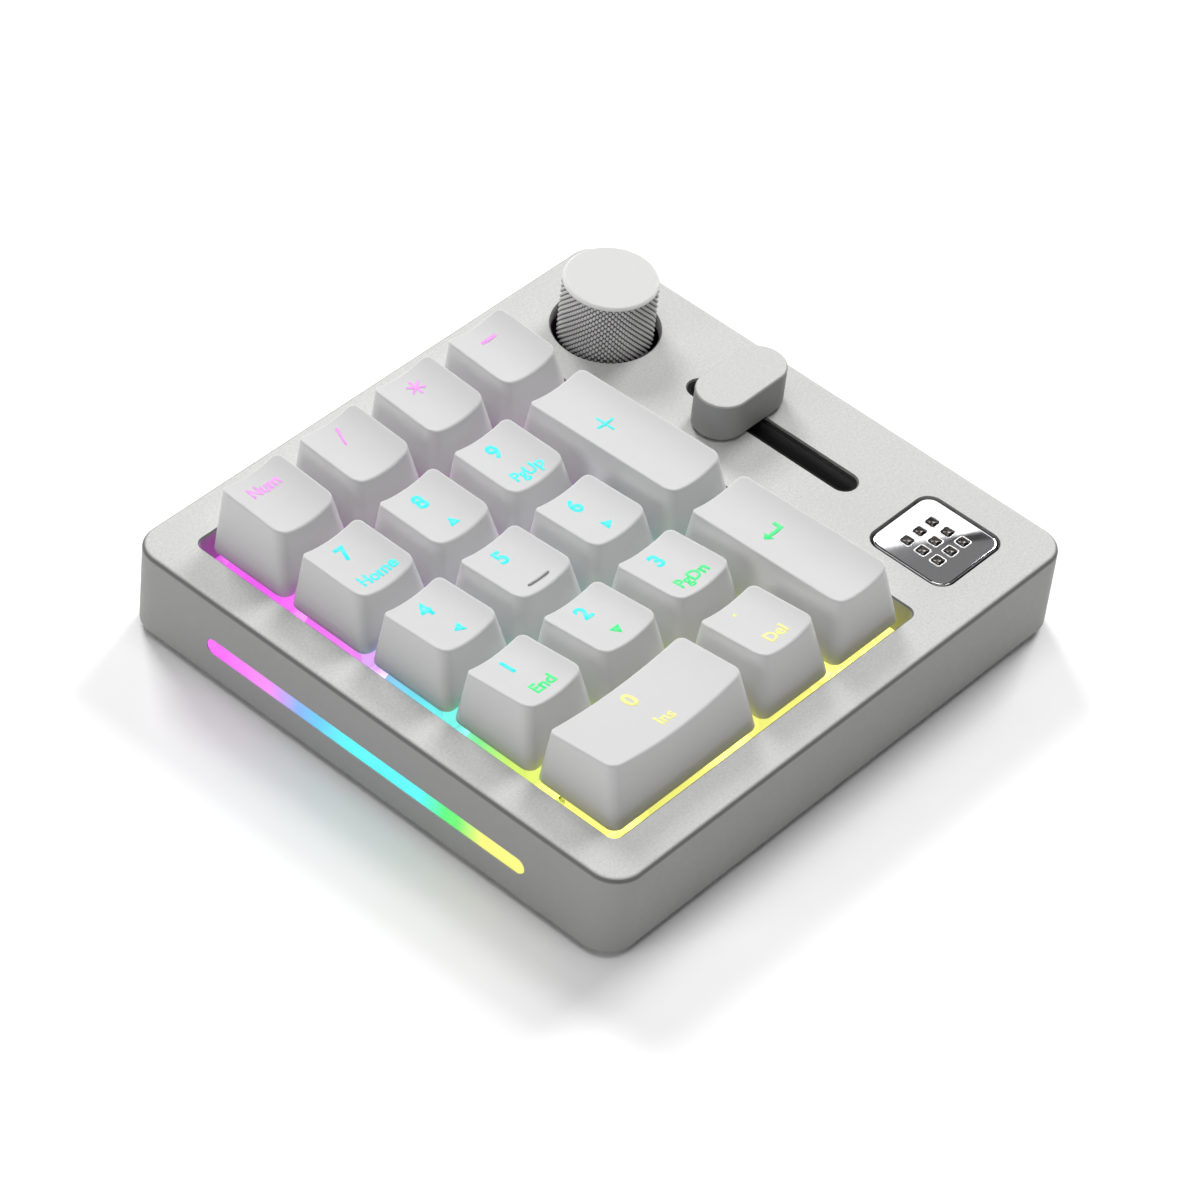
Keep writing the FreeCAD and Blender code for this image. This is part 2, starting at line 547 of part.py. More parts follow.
def spring():
    """The coil spring between the lower housing and the stem. Its wire has a six-sided section."""
    z0, z1 = POCKET_FLOOR + 0.25, SPRING_ROOF - 0.25
    pitch = (z1 - z0) / SPRING_TURNS
    path = Part.Wire(Part.makeHelix(pitch, z1 - z0, SPRING_RADIUS).Edges)
    angles = [k * math.pi / 3 for k in range(7)]
    section = Part.makePolygon([Vector(SPRING_RADIUS + SPRING_WIRE_RADIUS * math.cos(a), 0,
                                       SPRING_WIRE_RADIUS * math.sin(a)) for a in angles])
    coil = path.makePipeShell([Part.Wire(section)], True, True)
    coil.translate(Vector(0, 0, z0))
    return coil


# ---------------------------------------------------------------- stabilisers
# Each is drawn with its wire on the +Y side.
STAB_STEM_FOOT = BOARD_TOP + KEY_TRAVEL + 0.15
STAB_SLOT_Z = WIRE_PIVOT_Z + WIRE_REST_RISE
STAB_SLOT_HALF = 1.7
STAB_HOUSING_TOP = PLATE_TOP + 2.5


def stabiliser_housing():
    """A guide block for one end of a double key, with a clip for the wire at its back."""
    main = block(-3.3, 3.3, -4.4, 4.6, BOARD_TOP, STAB_HOUSING_TOP)
    clip = block(-3.3, 3.3, 4.5, WIRE_PIVOT_Y + 1.2, BOARD_TOP, PLATE_BOTTOM - 0.15)
    well = block(-2.2, 2.2, -1.7, 1.7, BOARD_TOP + 0.05, STAB_HOUSING_TOP + 1)
    channel = block(-0.95, 0.95, -3.2, WIRE_PIVOT_Y + 2, WIRE_PIVOT_Z - 1.0, STAB_HOUSING_TOP + 1)
    bore = Part.makeCylinder(WIRE_RADIUS + 0.05, 10, Vector(-5, WIRE_PIVOT_Y, WIRE_PIVOT_Z), Vector(1, 0, 0))
    bend_pocket = block(-2.4, 2.4, WIRE_PIVOT_Y - 2.6, WIRE_PIVOT_Y + 0.8, WIRE_PIVOT_Z - 0.8, PLATE_BOTTOM)
    return fuse([main, clip]).cut([well, channel, bore, bend_pocket])


def stabiliser_stem():
    """The stem at one end of a double key, with the slot that the wire's leg goes through."""
    bar = block(-2.0, 2.0, -1.5, 1.5, STAB_STEM_FOOT, HOUSING_TOP)
    top = cross(CROSS_LONG, CROSS_X_THICK, CROSS_Y_THICK, HOUSING_TOP - 0.1, STEM_TOP)
    slot = block(-0.95, 0.95, -2, 2, STAB_SLOT_Z - STAB_SLOT_HALF, STAB_SLOT_Z + STAB_SLOT_HALF)
    return fuse([bar, top]).cut(slot)


def stabiliser_wire():
    """The U-shaped wire: a long run that turns in the clips, and two raised legs that lift the stems."""
    rise = math.atan2(WIRE_REST_RISE, WIRE_PIVOT_Y)
    leg_length = 10.2
    tip_y = WIRE_PIVOT_Y - leg_length * math.cos(rise)
    tip_z = WIRE_PIVOT_Z + leg_length * math.sin(rise)
    bend = 1.6
    points = []
    for side in (-1, 1):
        x = side * STAB_OFFSET
        corner = Vector(x, WIRE_PIVOT_Y, WIRE_PIVOT_Z)
        tip = Vector(x, tip_y, tip_z)
        along_leg = (tip - corner).normalize()
        along_run = Vector(-side, 0, 0)
        leg_start = corner + along_leg * bend
        run_start = corner + along_run * bend
        middle = corner + (along_leg + along_run) * (bend * (1 - math.sqrt(0.5)))
        points.append((tip, leg_start, middle, run_start))
    left, right = points
    edges = [
        Part.LineSegment(left[0], left[1]).toShape(),
        Part.Arc(left[1], left[2], left[3]).toShape(),
        Part.LineSegment(left[3], right[3]).toShape(),
        Part.Arc(right[3], right[2], right[1]).toShape(),
        Part.LineSegment(right[1], right[0]).toShape(),
    ]
    section = Part.Wire(Part.makeCircle(WIRE_RADIUS, left[0], left[1] - left[0]))
    return Part.Wire(edges).makePipeShell([section], True, False)


# ---------------------------------------------------------------- keycaps


def tilted_wire(width, front, back, corner):
    """A rounded rectangle on the sloping plane through two edges, each given as (y, z)."""
    (y0, z0), (y1, z1) = front, back
    depth = math.hypot(y1 - y0, z1 - z0)
    wire = rounded_wire(width, depth, corner)
    wire.rotate(Vector(0, 0, 0), Vector(1, 0, 0), math.degrees(math.atan2(z1 - z0, y1 - y0)))
    wire.translate(Vector(0, (y0 + y1) / 2, (z0 + z1) / 2))
    return wire


def keycap(units_wide, units_deep, profile, homing=False):
    """A hollow cap: sloping sides, a top face scooped across its width, and bosses for the stems.

    The homing key has a small raised bar near the front of its top face.
    """
    width = KEY_SKIRT + (units_wide - 1) * KEY_PITCH
    depth = KEY_SKIRT + (units_deep - 1) * KEY_PITCH
    front = (-depth / 2 + ROW_INSETS[profile][0], CASE_TOP + ROW_TOPS[profile][0])
    back = (depth / 2 - ROW_INSETS[profile][1], CASE_TOP + ROW_TOPS[profile][1])
    top_width = width - 2 * TOP_SIDE_INSET[units_wide]
    skirt = rounded_wire(width, depth, 1.3, SKIRT_Z)
    outer = Part.makeLoft([skirt, tilted_wire(top_width, front, back, 1.6)], True, True)

    sink = SCOOP_DEPTH[units_wide]
    radius = ((top_width / 2) ** 2 + sink ** 2) / (2 * sink)
    slope = Vector(0, back[0] - front[0], back[1] - front[1])
    length = slope.Length + 20
    slope.normalize()
    up = Vector(0, -slope.z, slope.y)
    base = Vector(0, front[0], front[1]) - slope * 10 + up * (radius - sink)
    scoop = Part.makeCylinder(radius, length, base, slope)
    outer = outer.cut(scoop)

    if homing:
        bar_y = front[0] + HOMING_BAR_INSET
        bar_z = front[1] + (back[1] - front[1]) * HOMING_BAR_INSET / (back[0] - front[0]) - sink
        outer = fuse([outer, block(-HOMING_BAR_LENGTH / 2, HOMING_BAR_LENGTH / 2, bar_y - 0.45, bar_y + 0.45,
                                   bar_z - 0.5, bar_z + 0.45)])

    roof = sink + CAP_WALL
    inner_front = (front[0] + CAP_WALL, front[1] - roof)
    inner_back = (back[0] - CAP_WALL - 0.6, back[1] - roof)
    inner = Part.makeLoft(
        [rounded_wire(width - 2 * CAP_WALL, depth - 2 * CAP_WALL, 0.6, SKIRT_Z),
         tilted_wire(top_width - 2 * CAP_WALL + 0.4, inner_front, inner_back, 0.6)], True, True)
    shell = outer.cut(inner)

    boss_foot = HOUSING_TOP + 0.1
    boss_top = CASE_TOP + sum(ROW_TOPS[profile]) / 2 - roof + 0.9
    spots = [0.0] if units_wide * units_deep == 1 else [-STAB_OFFSET, 0.0, STAB_OFFSET]
    long, x_thick, y_thick = [size + 2 * CROSS_GAP for size in (CROSS_LONG, CROSS_X_THICK, CROSS_Y_THICK)]
    socket = cross(long, x_thick, y_thick, boss_foot - 1, STEM_TOP + 0.1)
    sockets = []
    for offset in spots:
        x, y = (offset, 0.0) if units_wide == 2 else (0.0, offset)
        shell = fuse([shell, post(x, y, 2.7, boss_foot, boss_top)])
        turned = -90.0 if units_deep == 2 and offset else 0.0
        sockets.append(moved(socket, x, y, 0, turned))
    return shell.cut(sockets)


# ---------------------------------------------------------------- rotary knob
ENCODER_TOP = BOARD_TOP + 6.5
BUSHING_TOP = ENCODER_TOP + 4.6
SHAFT_RADIUS = 3.0
SHAFT_TOP = CASE_TOP + 8.4
ROTOR_Z0 = BOARD_TOP + 2.6
ROTOR_Z1 = BOARD_TOP + 5.0
SQUARE = 3.6


def encoder_body():
    """The encoder's case and threaded bushing, with a dome switch on its floor."""
    case = block(-6.2, 6.2, -6.2, 6.2, BOARD_TOP, ENCODER_TOP)
    bushing = post(0, 0, 3.7, ENCODER_TOP, BUSHING_TOP)
    chamber = post(0, 0, 5.4, BOARD_TOP + 0.6, BOARD_TOP + 5.3)
    bore = post(0, 0, SHAFT_RADIUS + 0.05, BOARD_TOP + 5, BUSHING_TOP + 1)
    ledge = post(0, 0, 5.4, BOARD_TOP + 0.6, ROTOR_Z0 - 0.05).cut(post(0, 0, 4.2, BOARD_TOP, ROTOR_Z0))
    dome = post(0, 0, 1.5, BOARD_TOP + 0.5, BOARD_TOP + 1.2)
    shell = fuse([case, bushing]).cut([chamber, bore])
    return moved(fuse([shell, ledge, dome]), CONTROLS_X, KNOB_Y)


def encoder_rotor():
    """The contact wheel: it turns with the shaft, and the shaft's square end slides through it."""
    wheel = post(0, 0, 5.2, ROTOR_Z0, ROTOR_Z1)
    half = SQUARE / 2 + 0.04
    hole = block(-half, half, -half, half, ROTOR_Z0 - 1, ROTOR_Z1 + 1)
    notches = [moved(block(4.7, 6, -0.5, 0.5, ROTOR_Z0 - 1, ROTOR_Z1 + 1), turn=30 * k) for k in range(12)]
    return moved(wheel.cut([hole] + notches), CONTROLS_X, KNOB_Y)


def encoder_shaft():
    """The shaft: square below for the rotor, round in the bushing, flatted above for the knob."""
    foot = BOARD_TOP + 1.2 + KNOB_PRESS + 0.1
    shoulder = ROTOR_Z1 + KNOB_PRESS + 0.1
    half = SQUARE / 2
    square = block(-half, half, -half, half, foot, shoulder + 0.1)
    round_part = post(0, 0, SHAFT_RADIUS, shoulder, SHAFT_TOP)
    flat = block(1.5, 4, -4, 4, BUSHING_TOP + 0.6, SHAFT_TOP + 1)
    return moved(fuse([square, round_part]).cut(flat), CONTROLS_X, KNOB_Y)


def knob():
    """The turned knob: straight side for the knurl, bevelled rim, and a D-shaped bore."""
    z0, z1 = CASE_TOP - KNOB_SUNK, CASE_TOP + KNOB_HEIGHT_ABOVE_CASE
    bevel_height, bevel_width = 1.0, 0.35
    shoulder = z1 - bevel_height
    body = post(0, 0, KNOB_RADIUS, z0, shoulder)
    rim = Part.makeCone(KNOB_RADIUS, KNOB_RADIUS - bevel_width, bevel_height, Vector(0, 0, shoulder))
    body = fuse([body, rim])
    bore = post(0, 0, SHAFT_RADIUS + 0.03, z0 - 1, SHAFT_TOP + 0.1)
    bore = bore.cut(block(1.53, 5, -5, 5, z0 - 2, SHAFT_TOP + 1))
    relief = post(0, 0, 4.6, z0 - 1, BUSHING_TOP + 1.4)
    hollow = post(0, 0, 7.6, z0 - 1, z1 - 3.5).cut(post(0, 0, 5.6, z0 - 2, z1))
    return moved(body.cut([bore, relief, hollow]), CONTROLS_X, KNOB_Y)


# ---------------------------------------------------------------- fader
POT_TOP = BOARD_TOP + 6.8
POT_LENGTH = 45.0
POT_WIDTH = 9.0
LEVER_SIZE_X = 1.4
LEVER_SIZE_Y = 4.0


def slide_pot_body():
    """The slide potentiometer: a long box with a raised black collar that lines the slot in the case."""
    box = block(-POT_WIDTH / 2, POT_WIDTH / 2, -POT_LENGTH / 2, POT_LENGTH / 2, BOARD_TOP, POT_TOP)
    width, length = SLOT_WIDTH - 0.16, SLOT_LENGTH - 0.16
    collar = rounded_block(width, length, width / 2 - 0.001, POT_TOP - 0.2, CASE_TOP - 0.45)
    inside_w = width - 1.2
    collar_hole = rounded_block(inside_w, length - 1.2, inside_w / 2 - 0.001, POT_TOP - 1.1, CASE_TOP)
    chamber = block(-3.6, 3.6, -POT_LENGTH / 2 + 1, POT_LENGTH / 2 - 1, BOARD_TOP + 0.8, POT_TOP - 1.0)
    return moved(fuse([box, collar]).cut([collar_hole, chamber]), CONTROLS_X, SLOT_Y)


def slide_pot_carriage():
    """The wiper block inside the potentiometer and the lever that stands out of the slot."""
    wiper = block(-3.3, 3.3, -3.4, 3.4, BOARD_TOP + 1.4, BOARD_TOP + 4.6)
    lever = block(-LEVER_SIZE_X / 2, LEVER_SIZE_X / 2, -LEVER_SIZE_Y / 2, LEVER_SIZE_Y / 2,
                  BOARD_TOP + 4.5, CASE_TOP + FADER_CAP_GAP + 5.0)
    return moved(fuse([wiper, lever]), CONTROLS_X, FADER_Y)


def slider_cap():
    """The stadium-shaped finger cap, with softened edges and a socket for the lever."""
    z0 = CASE_TOP + FADER_CAP_GAP
    z1 = z0 + FADER_CAP_HEIGHT
    cap = rounded_block(FADER_CAP_LENGTH, FADER_CAP_WIDTH, FADER_CAP_WIDTH / 2 - 0.001, z0, z1)
    rims = [e for e in cap.Edges if abs(e.Vertexes[0].Z - e.Vertexes[-1].Z) < 0.01]
    cap = cap.makeFillet(0.45, rims)
    half_x, half_y = LEVER_SIZE_X / 2 + 0.04, LEVER_SIZE_Y / 2 + 0.04
    socket = block(-half_x, half_x, -half_y, half_y, z0 - 1, z0 + 5.1)
    return moved(cap.cut(socket), CONTROLS_X, FADER_Y)


# ---------------------------------------------------------------- write every node
save("top_case", top_case())
save("bottom_cover", bottom_cover())
save("cover_screws", cover_screws())
save("rubber_feet", rubber_feet())
save("light_bars", light_bars())
save("badge", badge())
save("switch_plate", switch_plate())
save("foam_and_gaskets", foam_and_gaskets())
save("circuit_board", circuit_board())
save("mode_switch_lever", mode_switch_lever())
save("usb_c_port", usb_c_port())
save("battery", battery())
save("switch_lower_housings", at_each_switch(lower_housing()))
save("switch_upper_housings", at_each_switch(upper_housing()))
save("switch_springs", at_each_switch(spring()))
save("stabiliser_housings", at_each_stabiliser(stabiliser_housing()))
for key_name, key_x, key_y, key_turn in wide_keys():
    save(f"{key_name}_stabiliser_wire", moved(stabiliser_wire(), key_x, key_y, 0, key_turn))

switch_stem = stem()
end_stem = stabiliser_stem()
for key_name, key_column, key_row, wide, deep, height_row in KEYS:
    key_x, key_y = key_centre(key_column, key_row)
    stems = [moved(switch_stem, key_x, key_y)]
    if wide * deep == 2:
        end_turn = 0.0 if wide == 2 else -90.0
        stems += [moved(moved(end_stem, side * STAB_OFFSET), key_x, key_y, 0, end_turn) for side in (-1, 1)]
    save(f"{key_name}_stem", stems)
    cap = keycap(wide, deep, height_row, key_name == HOMING_KEY)
    save(f"{key_name}_keycap", moved(cap, key_x, key_y))

save("encoder_body", encoder_body())
save("encoder_rotor", encoder_rotor())
save("encoder_shaft", encoder_shaft())
save("knob", knob())
save("slide_pot_body", slide_pot_body())
save("slide_pot_carriage", slide_pot_carriage())
save("slider_cap", slider_cap())
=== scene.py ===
"""The looks of a numeric keypad with a knob and a fader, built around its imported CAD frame.

Everything is in metres in the CAD's own frame: +Z up, +X to the user's right, +Y away from the user.
"""

import math

import bmesh
import bpy
from mathutils import Matrix, Vector


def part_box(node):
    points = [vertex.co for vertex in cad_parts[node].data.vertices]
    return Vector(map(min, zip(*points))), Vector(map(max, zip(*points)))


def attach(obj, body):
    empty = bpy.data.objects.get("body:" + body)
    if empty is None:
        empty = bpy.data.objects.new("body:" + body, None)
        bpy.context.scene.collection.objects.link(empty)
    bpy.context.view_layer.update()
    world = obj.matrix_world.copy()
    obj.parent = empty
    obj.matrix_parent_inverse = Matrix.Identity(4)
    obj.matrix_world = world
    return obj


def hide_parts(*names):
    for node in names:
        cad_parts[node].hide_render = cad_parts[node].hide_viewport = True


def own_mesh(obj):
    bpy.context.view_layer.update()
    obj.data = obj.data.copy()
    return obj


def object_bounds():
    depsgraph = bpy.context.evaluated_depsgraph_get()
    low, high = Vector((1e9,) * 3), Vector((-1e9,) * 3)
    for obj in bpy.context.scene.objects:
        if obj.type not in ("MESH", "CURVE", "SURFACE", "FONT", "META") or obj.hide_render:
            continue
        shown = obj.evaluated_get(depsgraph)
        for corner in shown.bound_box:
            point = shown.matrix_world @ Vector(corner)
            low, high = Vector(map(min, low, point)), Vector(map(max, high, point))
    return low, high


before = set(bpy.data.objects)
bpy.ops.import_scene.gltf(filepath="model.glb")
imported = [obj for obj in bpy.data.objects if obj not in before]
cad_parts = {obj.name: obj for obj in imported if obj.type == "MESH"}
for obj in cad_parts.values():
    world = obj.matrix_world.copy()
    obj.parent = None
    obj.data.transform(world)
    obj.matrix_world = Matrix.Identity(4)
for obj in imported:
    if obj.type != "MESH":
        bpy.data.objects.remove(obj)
CAD_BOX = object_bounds()
MM = 0.001

CASE_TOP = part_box("top_case")[1].z

# ---------------------------------------------------------------- camera, floor and light
CAMERA_TARGET = Vector((-2.5, -2.2, 8.5)) * MM
CAMERA_DISTANCE = 0.9255
CAMERA_HEADING = math.radians(53.115)
CAMERA_DOWN = math.radians(43.496)
CAMERA_ROLL = math.radians(7.025)
CAMERA_LENS = 158.06
SENSOR_WIDTH = 36.0
FLOOR_SIZE = 6.0


def add_camera():
    """A long lens from the front left corner, looking down, with a slight roll."""
    level = math.cos(CAMERA_DOWN)
    sight = Vector((level * math.sin(CAMERA_HEADING), level * math.cos(CAMERA_HEADING),
                    -math.sin(CAMERA_DOWN)))
    data = bpy.data.cameras.new("camera")
    data.lens = CAMERA_LENS
    data.sensor_width = SENSOR_WIDTH
    data.clip_start = 0.01
    data.clip_end = 50.0
    camera = bpy.data.objects.new("camera", data)
    bpy.context.scene.collection.objects.link(camera)
    turn = sight.to_track_quat("-Z", "Y").to_matrix().to_4x4() @ Matrix.Rotation(CAMERA_ROLL, 4, "Z")
    camera.matrix_world = Matrix.Translation(CAMERA_TARGET - sight * CAMERA_DISTANCE) @ turn
    bpy.context.scene.camera = camera


def add_light(name, place, size, power, roll=0.0):
    """A square soft light that faces the object, turned about its own axis by roll."""
    data = bpy.data.lights.new(name, "AREA")
    data.shape = "SQUARE"
    data.size = size
    data.energy = power
    lamp = bpy.data.objects.new(name, data)
    bpy.context.scene.collection.objects.link(lamp)
    place = Vector(place)
    turn = (CAMERA_TARGET - place).to_track_quat("-Z", "Y").to_matrix().to_4x4()
    lamp.matrix_world = Matrix.Translation(place) @ turn @ Matrix.Rotation(roll, 4, "Z")


CARD_DISTANCE = 2.0
CARD_SIZE = 0.5
CARD_ROLL = math.radians(20)
# Brightness of each card.
BRIGHT_CARD = 1.5
DIM_CARD = 0.17
# Name, place, size and power of each studio light.
STUDIO_LIGHTS = [
    ("overhead", (-0.2, 0.0, 2.2), 1.5, 21.0),
    ("right_key", (1.64, 0.3, 1.3), 0.65, 26.0),
    ("back_key", (0.72, 1.5, 1.3), 0.65, 26.0),
    ("left_fill", (-2.2, 0.6, 0.9), 1.0, 15.0),
    ("front_fill", (0.4, -2.2, 1.0), 1.2, 6.5),
]
SURROUNDING_LIGHT = 0.03


def add_cards():
    """A bright card low behind the object and a dim one above it, whose shared edge the badge reflects."""
    low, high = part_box("badge")
    badge = (low + high) / 2
    sight = (badge - bpy.context.scene.camera.matrix_world.translation).normalized()
    bounced = Vector((sight.x, sight.y, -sight.z))
    rise = bounced.cross(Vector((bounced.y, -bounced.x, 0))).normalized()
    rise = rise if rise.z > 0 else -rise
    rise = Matrix.Rotation(CARD_ROLL, 3, bounced) @ rise
    edge = badge + bounced * CARD_DISTANCE
    half = CARD_SIZE / 2
    area = math.pi * CARD_SIZE ** 2
    add_light("bright_card", edge - rise * half, CARD_SIZE, BRIGHT_CARD * area, CARD_ROLL)
    add_light("dim_card", edge + rise * half, CARD_SIZE, DIM_CARD * area, CARD_ROLL)


def add_world(brightness):
    """An even pale surrounding light."""
    world = bpy.data.worlds.new("studio")
    world.use_nodes = True
    background = world.node_tree.nodes["Background"]
    background.inputs["Color"].default_value = (1.0, 1.0, 1.0, 1.0)
    background.inputs["Strength"].default_value = brightness
    bpy.context.scene.world = world


# ---------------------------------------------------------------- materials
# Colour of the side bars, from the user's side to the far side.
BAR_COLOURS = [
    (-42.0, (1.0, 0.99, 0.22)),
    (-27.5, (1.0, 0.99, 0.2)),
    (-22.0, (0.16, 1.0, 0.17)),
    (-19.0, (0.08, 1.0, 0.18)),
    (-13.0, (0.08, 1.0, 1.0)),
    (4.0, (0.08, 1.0, 1.0)),
    (11.0, (0.13, 0.62, 1.0)),
    (15.5, (0.24, 0.46, 1.0)),
    (22.0, (0.95, 0.28, 1.0)),
    (34.0, (1.0, 0.11, 1.0)),
]
# Colour of the light round the keys, row by row.
GAP_COLOURS = [
    (-34.0, (1.0, 0.99, 0.22)),
    (-22.0, (0.72, 1.0, 0.16)),
    (-15.0, (0.26, 1.0, 0.3)),
    (-9.0, (0.2, 1.0, 0.85)),
    (-2.0, (0.16, 0.9, 1.0)),
    (6.0, (0.26, 0.66, 1.0)),
    (10.0, (0.72, 0.46, 1.0)),
    (14.0, (0.98, 0.24, 1.0)),
    (34.0, (1.0, 0.13, 1.0)),
]
# Colour of the lit legends, row by row.
LEGEND_COLOURS = [
    (-40.0, (1.0, 0.98, 0.32)),
    (-30.0, (1.0, 0.98, 0.32)),
    (-27.0, (0.04, 1.0, 0.27)),
    (-19.2, (0.04, 1.0, 0.27)),
    (-17.6, (0.03, 1.0, 1.0)),
    (28.5, (0.03, 1.0, 1.0)),
    (30.5, (1.0, 0.36, 1.0)),
]
# The colour ramps run this far each way from Y = 0, in millimetres.
RAMP_REACH = 48.0


def new_material(name):
    """A material with its node tree, and its Principled shader."""
    made = bpy.data.materials.new(name)
    made.use_nodes = True
    return made, made.node_tree, made.node_tree.nodes["Principled BSDF"]


def place_coordinates(tree):
    """Coordinates fixed to the piece, in the frame's metres."""
    return tree.nodes.new("ShaderNodeTexCoord").outputs["Object"]


def noise(tree, size, detail=2.0):
    """Noise with features of about the given size, fixed to the piece."""
    made = tree.nodes.new("ShaderNodeTexNoise")
    made.inputs["Scale"].default_value = 1.0 / size
    made.inputs["Detail"].default_value = detail
    tree.links.new(place_coordinates(tree), made.inputs["Vector"])
    return made.outputs["Fac"]


def remap(tree, value, low, high, from_low=0.3, from_high=0.7):
    """A value between two limits taken to another pair of limits."""
    made = tree.nodes.new("ShaderNodeMapRange")
    tree.links.new(value, made.inputs["Value"])
    made.inputs["From Min"].default_value = from_low
    made.inputs["From Max"].default_value = from_high
    made.inputs["To Min"].default_value = low
    made.inputs["To Max"].default_value = high
    return made.outputs["Result"]


def mix_colours(tree, factor, first, second):
    """A blend of two colours, each a colour or a socket."""
    made = tree.nodes.new("ShaderNodeMix")
    made.data_type = "RGBA"
    tree.links.new(factor, made.inputs["Factor"])
    for socket, colour in ((made.inputs["A"], first), (made.inputs["B"], second)):
        if isinstance(colour, (tuple, list)):
            socket.default_value = (*colour, 1.0)
        else:
            tree.links.new(colour, socket)
    return made.outputs["Result"]


def shaded(colour, factor):
    """A colour made darker or lighter."""
    return tuple(min(1.0, c * factor) for c in colour)


def ramp_along_y(tree, stops):
    """A colour that changes along Y, from stops of millimetres and colours."""
    split = tree.nodes.new("ShaderNodeSeparateXYZ")
    tree.links.new(place_coordinates(tree), split.inputs["Vector"])
    reach = RAMP_REACH * MM
    along = remap(tree, split.outputs["Y"], 0.0, 1.0, -reach, reach)
    ramp = tree.nodes.new("ShaderNodeValToRGB")
    tree.links.new(along, ramp.inputs["Fac"])
    elements = ramp.color_ramp.elements
    for index, (place, colour) in enumerate(stops):
        position = (place + RAMP_REACH) / (2 * RAMP_REACH)
        element = elements[index] if index < 2 else elements.new(position)
        element.position = position
        element.color = (*colour, 1.0)
    return ramp.outputs["Color"]


def add_grain(tree, shader, size, depth):
    """A fine bump over the surface."""
    bump = tree.nodes.new("ShaderNodeBump")
    bump.inputs["Strength"].default_value = 1.0
    bump.inputs["Distance"].default_value = depth
    tree.links.new(noise(tree, size), bump.inputs["Height"])
    tree.links.new(bump.outputs["Normal"], shader.inputs["Normal"])


# Limits of the upward part of a normal, from wall to rounded edge and from rounded edge to top, for painted
# light and shade by slope.
WALL_TO_EDGE = (0.1, 0.4)
EDGE_TO_TOP = (0.75, 0.97)


def painted_light_by_slope(tree, walls, edges, top):
    """Painted light and shade by which way the surface faces: a colour for walls, one for rounded edges, and
    one for what faces up. The top's may be a socket.
    """
    split = tree.nodes.new("ShaderNodeSeparateXYZ")
    tree.links.new(tree.nodes.new("ShaderNodeTexCoord").outputs["Normal"], split.inputs["Vector"])
    sides = mix_colours(tree, remap(tree, split.outputs["Z"], 0.0, 1.0, *WALL_TO_EDGE), walls, edges)
    return mix_colours(tree, remap(tree, split.outputs["Z"], 0.0, 1.0, *EDGE_TO_TOP), sides, top)


def in_grooves(tree, centre, deep, proud):
    """0 at one distance from an upright axis, and 1 at another."""
    flat = tree.nodes.new("ShaderNodeVectorMath")
    flat.operation = "MULTIPLY_ADD"
    flat.inputs[1].default_value = (1.0, 1.0, 0.0)
    flat.inputs[2].default_value = (-centre.x, -centre.y, 0.0)
    tree.links.new(place_coordinates(tree), flat.inputs[0])
    size = tree.nodes.new("ShaderNodeVectorMath")
    size.operation = "LENGTH"
    tree.links.new(flat.outputs["Vector"], size.inputs[0])
    return remap(tree, size.outputs["Value"], 0.0, 1.0, deep, proud)


# How far inside the knob's radius its knurl's painted shade is full, and gone to the pale ridge colour.
KNURL_DARK = 0.36 * MM
KNURL_PALE = 0.1 * MM


def knurled(name, top, ridge, groove):
    """The knob's finish: a plain face, and a knurl whose grooves carry painted shade."""
    made, tree, shader = new_material(name)
    low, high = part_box("knob")
    radius = (high.x - low.x) / 2
    shader.inputs["Specular IOR Level"].default_value = 0.35
    # Painted shade: darker deeper in the knurl's grooves.
    depth = in_grooves(tree, (low + high) / 2, radius - KNURL_DARK, radius - KNURL_PALE)
    walls = mix_colours(tree, depth, groove, ridge)
    mottled = mix_colours(tree, noise(tree, 0.6 * MM, 3.0), shaded(top, 0.97), shaded(top, 1.03))
    tree.links.new(painted_light_by_slope(tree, walls, ridge, mottled), shader.inputs["Base Color"])
    tree.links.new(remap(tree, noise(tree, 0.8 * MM), 0.42, 0.52), shader.inputs["Roughness"])
    add_grain(tree, shader, 0.15 * MM, 0.004 * MM)
    return made


def finish(name, colour, roughness, metallic=0.0, grain=0.25 * MM, depth=0.01 * MM, mottle=0.05,
           mottle_size=6 * MM, roughness_spread=0.06, specular=0.5, painted_slopes=None):
    """A procedural finish: fine grain, slow mottling of colour, roughness that varies a little, and, where
    given, painted light and shade by slope.
    """
    made, tree, shader = new_material(name)
    shader.inputs["Metallic"].default_value = metallic
    shader.inputs["Specular IOR Level"].default_value = specular
    slow = noise(tree, mottle_size, 3.0)
    mottled = mix_colours(tree, slow, shaded(colour, 1 - mottle), shaded(colour, 1 + mottle))
    if painted_slopes is not None:
        mottled = painted_light_by_slope(tree, *painted_slopes, mottled)
    tree.links.new(mottled, shader.inputs["Base Color"])
    uneven = remap(tree, noise(tree, grain * 4), roughness - roughness_spread, roughness + roughness_spread)
    tree.links.new(uneven, shader.inputs["Roughness"])
    add_grain(tree, shader, grain, depth)
    return made


# Painted light: the inside of the slot is paler than its black rim.
SLOT_INSIDE_PAINTED_LIGHT = (0.1, 0.1, 0.1)
SLOT_RIM = (0.012, 0.012, 0.012)


def black_with_painted_light(name, rim):
    """A dull black that is darkest on the rim at a height, with painted light making it paler down inside."""
    made, tree, shader = new_material(name)
    split = tree.nodes.new("ShaderNodeSeparateXYZ")
    tree.links.new(place_coordinates(tree), split.inputs["Vector"])
    down = remap(tree, split.outputs["Z"], 0.0, 1.0, rim - 0.3 * MM, rim - 0.05 * MM)
    tree.links.new(mix_colours(tree, down, SLOT_INSIDE_PAINTED_LIGHT, SLOT_RIM), shader.inputs["Base Color"])
    tree.links.new(remap(tree, noise(tree, 0.8 * MM), 0.85, 0.95), shader.inputs["Roughness"])
    shader.inputs["Specular IOR Level"].default_value = 0.1
    return made


